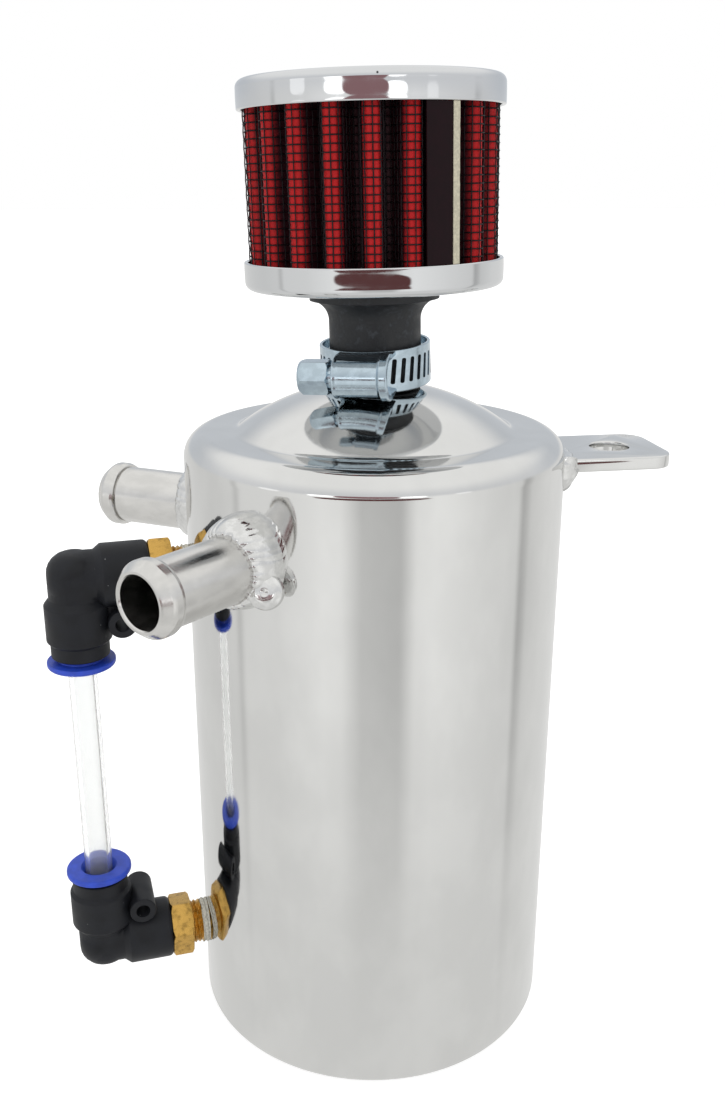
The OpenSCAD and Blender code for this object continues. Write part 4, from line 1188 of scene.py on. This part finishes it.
class BuildElbows(bpy.types.Operator):
    """Builds the two moulded elbows"""

    bl_idname = "catch_can.elbows"
    bl_label = "Elbows"

    def execute(self, context):
        gauge, tank = group("gauge"), group("tank")
        plastic = black_plastic(context.scene.can_colours.black)
        for side, upper in (("upper", True), ("lower", False)):
            place = fitting(upper) @ move(tank.radius + gauge.out, 0, 0)
            finished(self.elbow(gauge), side + "_elbow_moulded", plastic,
                     [side + "_elbow"], place, sharp=40)
        return {"FINISHED"}

    def arm(self, gauge, reach, end_length, end_radius):
        """One arm of an elbow, along +Z from its corner."""
        corners = [(0, -gauge.corner), (gauge.corner, -gauge.corner, gauge.corner_round),
                   (gauge.corner, gauge.sleeve_start - 1.4, 0.4), (gauge.sleeve, gauge.sleeve_start, 0.5)]
        if end_length:
            corners += [(gauge.sleeve, reach - end_length - 0.7, 0.3), (end_radius, reach - end_length, 0.2),
                        (end_radius, reach, 0.35)]
        else:
            corners += [(gauge.sleeve, reach, end_radius)]
        return lathe(rounded(corners + [(0, reach)], 6), 96)

    def elbow(self, gauge):
        """The moulding: two sleeves, a rounded corner, a lug on its web, and the bores."""
        side_on = turn(-90, "Y")
        across = move(-gauge.lug_side, 0, gauge.lug_up) @ turn(90, "X")
        upright = self.arm(gauge, gauge.tube_arm, 3, 6)
        level = placed(self.arm(gauge, gauge.stud_arm, 0, 1.1), side_on)
        half = gauge.lug_length / 2
        lug = placed(rod(gauge.lug_radius, -half, half, 64, 0.3), across)
        web = block((-gauge.lug_side, -gauge.lug_length / 4, 0), (0, gauge.lug_length / 4, gauge.lug_up))
        body = carved(upright, [level, lug, web], "UNION")
        socket = gauge.sleeve_start - 1
        ring_room, ring_room_depth = 4.75, 9.2
        shank_room, lug_hole = 3.55, 1.55
        tools = [
            rod(gauge.tube_bore, 0, gauge.tube_arm),
            rod(gauge.tube_radius + 0.05, socket, gauge.tube_arm - 2),
            rod(ring_room, gauge.tube_arm - ring_room_depth, gauge.tube_arm + 2),
            placed(rod(gauge.tube_bore, 0, gauge.stud_arm), side_on),
            placed(rod(shank_room, gauge.sleeve_start, gauge.stud_arm + 2), side_on),
            placed(rod(lug_hole, -half - 1, half + 1, 48), across),
        ]
        return carved(body, tools)


class BuildTube(bpy.types.Operator):
    """Builds the clear sight tube and the release rings"""

    bl_idname = "catch_can.tube"
    bl_label = "Sight tube"

    def execute(self, context):
        gauge, tank = group("gauge"), group("tank")
        socket = gauge.sleeve_start - 1
        low = gauge.lower + socket
        high = tank.ring_height - gauge.upper_drop - socket
        place = turn(gauge.direction, "Z") @ move(tank.radius + gauge.out, 0, 0)
        outline = rounded([(gauge.tube_bore, low, 0.1), (gauge.tube_radius, low, 0.1),
                           (gauge.tube_radius, high, 0.1), (gauge.tube_bore, high, 0.1)], 3)
        finished(lathe(outline, 96), "sight_tube_clear", clear_tube(), ["sight_tube"], place)
        plastic = blue_plastic(context.scene.can_colours.blue)
        for side, upper in (("upper", True), ("lower", False)):
            name = side + "_release_ring"
            place = fitting(upper) @ move(tank.radius + gauge.out, 0, 0)
            finished(self.ring(gauge), name + "_moulded", plastic, [name], place, name)
        return {"FINISHED"}

    def ring(self, gauge):
        """A flanged ring with a funnel that leads the tube in."""
        low = gauge.tube_arm + gauge.ring_gap
        top = low + gauge.ring_sheet
        bore = gauge.tube_radius + 0.15
        sleeve, foot = 4.6, gauge.tube_arm - 5.6
        return lathe(rounded([
            (bore, foot), (sleeve, foot, 0.2), (sleeve, low, 0.25),
            (gauge.ring_radius, low, 0.3), (gauge.ring_radius, top, 0.55), (bore + 0.75, top, 0.2),
            (bore, top - 1.1, 0.3)], 5), 128)


class BuildFilter(bpy.types.Operator):
    """Builds the filter's chrome caps and its rubber neck"""

    bl_idname = "catch_can.filter"
    bl_label = "Filter caps and neck"

    def execute(self, context):
        sizes, tank = group("filter"), group("tank")
        crown = crown_height(tank)[0]
        base = crown + sizes.neck_length
        top = base + sizes.base_depth + sizes.element + sizes.top_depth
        place = leaning()
        metal = chrome(context.scene.can_colours.chrome, place)
        finished(lathe(self.cap_outline(sizes, sizes.base_depth, sizes.flare_out + 0.05), 256),
                 "filter_base_cap_chromed", metal, ["filter_base_cap"], place @ move(0, 0, base))
        finished(lathe(self.cap_outline(sizes, sizes.top_depth, 0), 256),
                 "filter_top_cap_chromed", metal, ["filter_top_cap"],
                 place @ move(0, 0, top) @ turn(180, "X"))
        finished(self.neck(tank, sizes, crown, base, place), "filter_neck_moulded",
                 neck_rubber(context.scene.can_colours.rubber), ["filter_neck"])
        return {"FINISHED"}

    def cap_outline(self, sizes, depth, hole):
        """Profile of a cap that stands on its flat face, open upwards, with a faint belly in its side."""
        radius, sheet = sizes.cap_radius, sizes.cap_sheet
        belly = 0.026
        low, high = sizes.cap_round + 0.2, depth - 0.5
        side = [(radius - belly * (k / 4 - 1) ** 2, low + (high - low) * k / 8) for k in range(9)]
        corners = [(hole, 0) if hole == 0 else (hole, 0, 0.15), (radius - belly, 0, sizes.cap_round), *side,
                   (radius - belly, depth, 0.3), (radius - sheet, depth, 0.3),
                   (radius - sheet, sheet, sizes.cap_round - sheet)]
        corners.append((hole, sheet) if hole == 0 else (hole, sheet, 0.15))
        return rounded(corners, 10)

    def neck(self, tank, sizes, crown, base, place):
        """The flared rubber neck, its flange in the cap and its upright bore."""
        shelf = base + sizes.cap_sheet
        inner = sizes.cap_radius - sizes.cap_sheet - 0.2
        spigot, spigot_top = tank.spigot_radius + 0.05, crown + 15.5
        bore = 4.75
        end = 180 - math.degrees(math.acos(1 - (sizes.flare_out - sizes.neck) / sizes.flare))
        flare = arc(sizes.neck + sizes.flare, base - sizes.flare_lip - sizes.flare, sizes.flare, 180, end, 20)
        outline = ([(spigot, crown), (sizes.neck, crown), (sizes.neck, flare[0][1] - 0.05)]
                   + flare + [(sizes.flare_out, shelf)]
                   + rounded([(inner, shelf, 0.8), (inner, shelf + 2, 0.2), (bore, shelf + 2)], 4)
                   + [(bore, spigot_top), (spigot, spigot_top)])
        bm = lathe(outline, 160)
        for v in bm.verts:
            foot = v.co.z < crown + 0.01
            v.co = place @ v.co
            if foot:
                v.co.z = crown + 0.01
        return bm


class BuildElement(bpy.types.Operator):
    """Builds the pleated cloth, the wire mesh over it and the glued seam"""

    bl_idname = "catch_can.element"
    bl_label = "Filter element"

    def execute(self, context):
        sizes, tank = group("filter"), group("tank")
        base = crown_height(tank)[0] + sizes.neck_length
        low = base + sizes.base_depth
        high = low + sizes.element
        place = leaning() @ turn(sizes.first_pleat, "Z")
        colours = context.scene.can_colours
        potting = 2
        foot = base + sizes.cap_sheet + potting
        head = high + sizes.top_depth - sizes.cap_sheet - potting
        line = self.fold_line(sizes)
        # The valley colour passed here paints the shade deep in the pleats. The crest colour is the cloth's
        # own red.
        finished(self.cloth(sizes, line, foot, head), "filter_element_pleated",
                 filter_cloth(colours.crest, colours.valley), ["filter_element"], place,
                 sharp=80)
        self.wires(sizes, line, low - 0.6, high + 0.6, place, colours.wire)
        self.seam(sizes, low, high, colours)
        return {"FINISHED"}

    def fold_line(self, sizes):
        """Evenly spaced points (x, y) on the pleats' outline with their normals, four to each wire."""
        step = math.radians(360 / sizes.pleats)
        valley = Vector((sizes.valley_at * math.cos(step / 2), sizes.valley_at * math.sin(step / 2)))
        gap = (valley - Vector((sizes.crest_at, 0))).length
        side = (math.atan2(valley.y, valley.x - sizes.crest_at)
                - math.acos((sizes.crest + sizes.valley) / gap))
        fine = []
        for i in range(sizes.pleats):
            for k in range(-24, 25):
                a = side * k / 24
                outward = Vector((math.cos(a), math.sin(a)))
                spot = Vector((sizes.crest_at, 0)) + sizes.crest * outward
                fine.append((self.spun(spot, i * step), self.spun(outward, i * step)))
            for k in range(-12, 13):
                a = (side - step / 2) * k / 12
                spot = Vector((sizes.valley_at - sizes.valley * math.cos(a), sizes.valley * math.sin(a)))
                outward = Vector((math.cos(a), -math.sin(a)))
                fine.append((self.spun(spot, (i + 0.5) * step), self.spun(outward, (i + 0.5) * step)))
        fine.append(fine[0])
        lengths = [0.0]
        for a, b in zip(fine, fine[1:]):
            lengths.append(lengths[-1] + (b[0] - a[0]).length)
        count = 4 * round(lengths[-1] / sizes.mesh_step)
        line = []
        k = 0
        for i in range(count):
            target = lengths[-1] * i / count
            while lengths[k + 1] < target:
                k += 1
            share = (target - lengths[k]) / max(1e-9, lengths[k + 1] - lengths[k])
            line.append((fine[k][0].lerp(fine[k + 1][0], share),
                         fine[k][1].lerp(fine[k + 1][1], share).normalized()))
        return line

    def spun(self, spot, a):
        """A point turned about the filter's middle."""
        return Vector((spot.x * math.cos(a) - spot.y * math.sin(a),
                       spot.x * math.sin(a) + spot.y * math.cos(a)))

    def cloth(self, sizes, line, foot, head):
        """A closed skin of pleated cloth that bulges a little in each opening of the mesh."""
        bm = bmesh.new()
        fold = bm.verts.layers.float.new("fold")
        cell = (head - foot) / round((head - foot) / sizes.mesh_step)
        rows = 4 * round((head - foot) / cell)
        deepest = sizes.valley_at - sizes.valley
        depth = sizes.crest_at + sizes.crest - deepest

        def ring(row, inset):
            loop = []
            z = foot + (head - foot) * row / rows
            for i, (spot, outward) in enumerate(line):
                bulge = 0
                if inset == 0:
                    bulge = 0.13 * abs(math.sin(math.pi * i / 4)) * abs(math.sin(math.pi * row / 4))
                    bulge += 0.05 * ripple(spot.x * 0.7, spot.y * 0.7, z * 0.4) - 0.12
                where = spot + outward * (bulge - inset)
                v = bm.verts.new((where.x, where.y, z))
                # The fold value runs from 0 in the valleys to 1 on the crests. The cloth material uses it to
                # paint shade into the valleys.
                v[fold] = (spot.length - deepest) / depth
                loop.append(v)
            return loop

        loops = [ring(0, sizes.cloth)] + [ring(row, 0) for row in range(rows + 1)] + [ring(rows, sizes.cloth)]
        loops.append(loops[0])
        for lower, upper in zip(loops, loops[1:]):
            for a, b, c, d in zip(lower, lower[1:] + lower[:1], upper[1:] + upper[:1], upper):
                bm.faces.new((a, b, c, d))
        bmesh.ops.recalc_face_normals(bm, faces=bm.faces)
        return bm

    def wires(self, sizes, line, low, high, place, tint):
        """Woven square mesh: upright wires and level wires that pass over and under each other."""
        data = bpy.data.curves.new("filter_mesh", "CURVE")
        data.dimensions = "3D"
        data.bevel_depth = sizes.wire * MM
        data.bevel_resolution = 0
        rows = round((high - low) / sizes.mesh_step)
        count = len(line) // 4
        lift = sizes.wire * 0.45
        away = sizes.wire + 0.10

        def strand(points, closed):
            spline = data.splines.new("POLY")
            spline.points.add(len(points) - 1)
            for target, spot in zip(spline.points, points):
                target.co = (*(place @ spot * MM), 1)
            spline.use_cyclic_u = closed

        for i in range(count):
            spot, outward = line[4 * i]
            points = []
            for row in range(rows + 1):
                sway = lift if (i + row) % 2 else -lift
                where = spot + outward * (away + sway)
                points.append(Vector((where.x, where.y, low + (high - low) * row / rows)))
            strand(points, False)
        for row in range(1, rows):
            z = low + (high - low) * row / rows
            points = []
            for i in range(0, len(line), 2):
                spot, outward = line[i]
                weave = math.cos(math.pi * (i / 4 + row))
                where = spot + outward * (away + lift * weave)
                points.append(Vector((where.x, where.y, z + 0.04 * ripple(spot.x, spot.y, z))))
            strand(points, True)
        curve = bpy.data.objects.new("filter_mesh", data)
        bpy.context.scene.collection.objects.link(curve)
        bm = placed(baked(curve), Matrix.Scale(1 / MM, 4))
        bpy.data.objects.remove(curve)
        coated = plain_finish("black_wire", tint, 0, 0.4, shine=0.25)
        finished(bm, "filter_screen_woven", coated, ["filter_screen"], sharp=180)

    def seam(self, sizes, low, high, colours):
        """The glued lap over one pleat and its pale cut edge."""
        inner = sizes.crest_at + sizes.crest + 0.4
        outer, edge = inner + 0.45, inner + 0.6
        low, high = low + 0.05, high - 0.05
        place = leaning() @ turn(sizes.lap_from, "Z")
        lap = lathe([(inner, low), (outer, low), (outer, high), (inner, high)], 24, sizes.lap_span)
        finished(lap, "filter_seam_lap_glued", plain_finish("lap_cloth", colours.lap, 0, 0.5, 0.5, 0.12),
                 ["filter_seam_lap"], place)
        rows = 40
        side = [(edge, low + (high - low) * i / rows) for i in range(rows + 1)]
        outline = [(inner, low)] + side + [(inner, high)]
        strip = lathe(outline, 6, math.degrees(sizes.strip / inner))
        for v in strip.verts:
            if math.hypot(v.co.x, v.co.y) > inner + 0.3:
                v.co.x += 0.05 * ripple(v.co.z * 0.9, v.co.y, 3)
                v.co.y += 0.07 * ripple(v.co.z * 0.7, v.co.y * 0.3, 9)
        finished(strip, "filter_seam_strip_cut", plain_finish("seam_edge", colours.strip, 0, 0.6),
                 ["filter_seam_strip"], place @ turn(sizes.lap_span, "Z"), sharp=60)


class BuildClamp(bpy.types.Operator):
    """Builds the hose clamp: its slotted band, its housing and its screw"""

    bl_idname = "catch_can.clamp"
    bl_label = "Hose clamp"

    def execute(self, context):
        clamp = group("clamp")
        place = clamped()
        metal = zinc_plate(context.scene.can_colours.zinc)
        finished(self.band(clamp), "clamp_band_slotted", metal, ["clamp_band"], place, sharp=50)
        finished(self.housing(clamp), "clamp_housing_rolled", metal, ["clamp_housing"], place)
        finished(self.screw(clamp), "clamp_screw_plated", metal, ["clamp_screw"], place,
                 "clamp_screw")
        return {"FINISHED"}

    def band(self, clamp):
        """A ring of sheet with slanted slots, none of them under the housing."""
        half = clamp.band_width / 2
        outer = clamp.band + clamp.band_sheet
        ring = lathe(rounded([(clamp.band, -half, 0.15), (outer, -half, 0.25), (outer, half, 0.25),
                              (clamp.band, half, 0.15)], 3), 180)
        covered = math.degrees(2 * math.asin((clamp.housing + clamp.rim) / 2 / outer))
        count = 1 + int((360 - covered) // clamp.slot_step)
        first = (360 - (count - 1) * clamp.slot_step) / 2
        tools = []
        for i in range(count):
            slot = block((-1, -clamp.slot_width / 2, -clamp.slot_height / 2),
                         (1, clamp.slot_width / 2, clamp.slot_height / 2))
            upright = [e for e in slot.edges if abs(e.verts[0].co.x - e.verts[1].co.x) > 0.5]
            bmesh.ops.bevel(slot, geom=upright, offset=0.35, offset_type="OFFSET", affect="EDGES",
                            segments=3, profile=0.5, material=-1)
            tools.append(placed(slot, turn(first + i * clamp.slot_step, "Z") @ turn(clamp.slot_slant, "X")
                                @ move(clamp.band + clamp.band_sheet / 2, 0, 0)))
        return carved(ring, [joined(*tools)])

    def housing(self, clamp):
        """An arch of sheet over the worm, with a raised rim at its far end."""
        at = clamp.band + clamp.band_sheet + clamp.worm_gap + clamp.worm
        outer, inner = clamp.housing_radius, clamp.housing_radius - clamp.housing_sheet
        half = clamp.housing / 2
        far = half + clamp.rim
        lip, rim = outer + 0.12, outer + clamp.rim_height
        profile = rounded([
            (inner, -half, 0.1), (lip, -half, 0.3), (lip, 0.5 - half, 0.2), (outer, 0.9 - half, 0.2),
            (outer, half - 0.3, 0.3), (rim, half + 0.3, 0.3), (rim, far, 0.3), (inner, far, 0.1)], 4)
        arch = placed(lathe(profile, 96), move(at, 0, 0) @ turn(-90, "X"))
        feet = [block((clamp.band - 1, -half, low), (at, far, low + clamp.housing_sheet))
                for low in (-outer, inner)]
        fit = 0.03
        keep_out = rod(clamp.band + clamp.band_sheet + fit, -9, 9, 128)
        back = block((clamp.band - 4, -half - 1, -inner), (at, far + 1, inner))
        body = carved(arch, [joined(*feet)], "UNION")
        return carved(body, [back, keep_out])

    def screw(self, clamp):
        """The worm, its collar and the hexagon head with softened edges."""
        at = clamp.band + clamp.band_sheet + clamp.worm_gap + clamp.worm
        half = clamp.housing / 2
        rows, thread_depth = 90, 0.7
        start = half + clamp.collar
        end = start + clamp.head_length
        collar = clamp.worm - 0.5
        outline = [(0, -half)] + [(clamp.worm, 2 * half * i / rows - half) for i in range(rows + 1)]
        outline += [(collar, half + 0.05), (collar, start + 1), (0, start + 1)]
        worm = lathe(outline, 64)
        pitch = math.radians(clamp.slot_step) * clamp.band
        for v in worm.verts:
            if math.hypot(v.co.x, v.co.y) > clamp.worm - 0.1:
                phase = v.co.z / pitch - math.atan2(v.co.y, v.co.x) / (2 * math.pi)
                drawn_in(v, thread_depth * (0.5 - 0.5 * math.cos(2 * math.pi * phase)))
        head, corner = hexagon(clamp.head, start, end)
        placed(head, turn(30, "Z"))
        cone = lathe([(0, start), (corner - 0.4, start), (corner + 0.1, start + 0.5),
                      (corner + 0.1, end - 1.0), (corner - 0.7, end), (0, end)], 96)
        head = soften(carved(head, [cone], "INTERSECT"), 0.35, 4, 30)
        return placed(joined(worm, head), move(at, 0, 0) @ turn(90, "X"))


class FinishHidden(bpy.types.Operator):
    """Gives the CAD nodes that stay shown, most of them inside, their materials"""

    bl_idname = "catch_can.hidden"
    bl_label = "Inner pieces"

    def execute(self, context):
        bare = plain_finish("bare_aluminium", (0.62, 0.62, 0.61), 1, 0.35)
        steel = plain_finish("spring_steel", (0.55, 0.56, 0.57), 1, 0.25)
        seal = plain_finish("seal_rubber", (0.02, 0.02, 0.021), 0, 0.4)
        finishes = {
            bare: ["breather_spigot", "upper_gauge_boss", "lower_gauge_boss"],
            steel: ["upper_grab_ring", "lower_grab_ring", "filter_inner_screen"],
            seal: ["upper_tube_seal", "lower_tube_seal", "upper_swivel_seal", "lower_swivel_seal",
                   "filter_top_potting"],
        }
        for finish, nodes in finishes.items():
            for name in nodes:
                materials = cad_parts[name].data.materials
                materials.clear()
                materials.append(finish)
        return {"FINISHED"}


class CatchCanPanel(bpy.types.Panel):
    """Lists the steps that build the catch can"""

    bl_idname = "VIEW3D_PT_catch_can"
    bl_label = "Oil Catch Can"
    bl_space_type = "VIEW_3D"
    bl_region_type = "UI"
    bl_category = "Catch Can"

    def draw(self, context):
        for step in OPERATORS:
            self.layout.operator(step.bl_idname)
        for name in GROUPS:
            box = self.layout.box()
            box.label(text=name.capitalize())
            values = getattr(context.scene, "can_" + name)
            for prop in values.bl_rna.properties:
                if prop.identifier not in ("rna_type", "name"):
                    box.prop(values, prop.identifier)


GROUPS = {
    "tank": TankSizes,
    "tails": TailSizes,
    "gauge": GaugeSizes,
    "filter": FilterSizes,
    "clamp": ClampSizes,
    "colours": Colours,
}
OPERATORS = (BuildStudio, BuildTank, BuildTails, BuildBracket, BuildStuds, BuildElbows, BuildTube,
             BuildFilter, BuildElement, BuildClamp, FinishHidden)


def register():
    for kind in (*GROUPS.values(), *OPERATORS, CatchCanPanel):
        bpy.utils.register_class(kind)
    for name, kind in GROUPS.items():
        setattr(bpy.types.Scene, "can_" + name, PointerProperty(type=kind))


def unregister():
    for name in GROUPS:
        delattr(bpy.types.Scene, "can_" + name)
    for kind in (CatchCanPanel, *reversed(OPERATORS), *GROUPS.values()):
        bpy.utils.unregister_class(kind)


def main():
    register()
    for step in OPERATORS:
        area, name = step.bl_idname.split(".")
        getattr(getattr(bpy.ops, area), name)()
    bpy.context.view_layer.update()


if __name__ == "__main__":
    main()
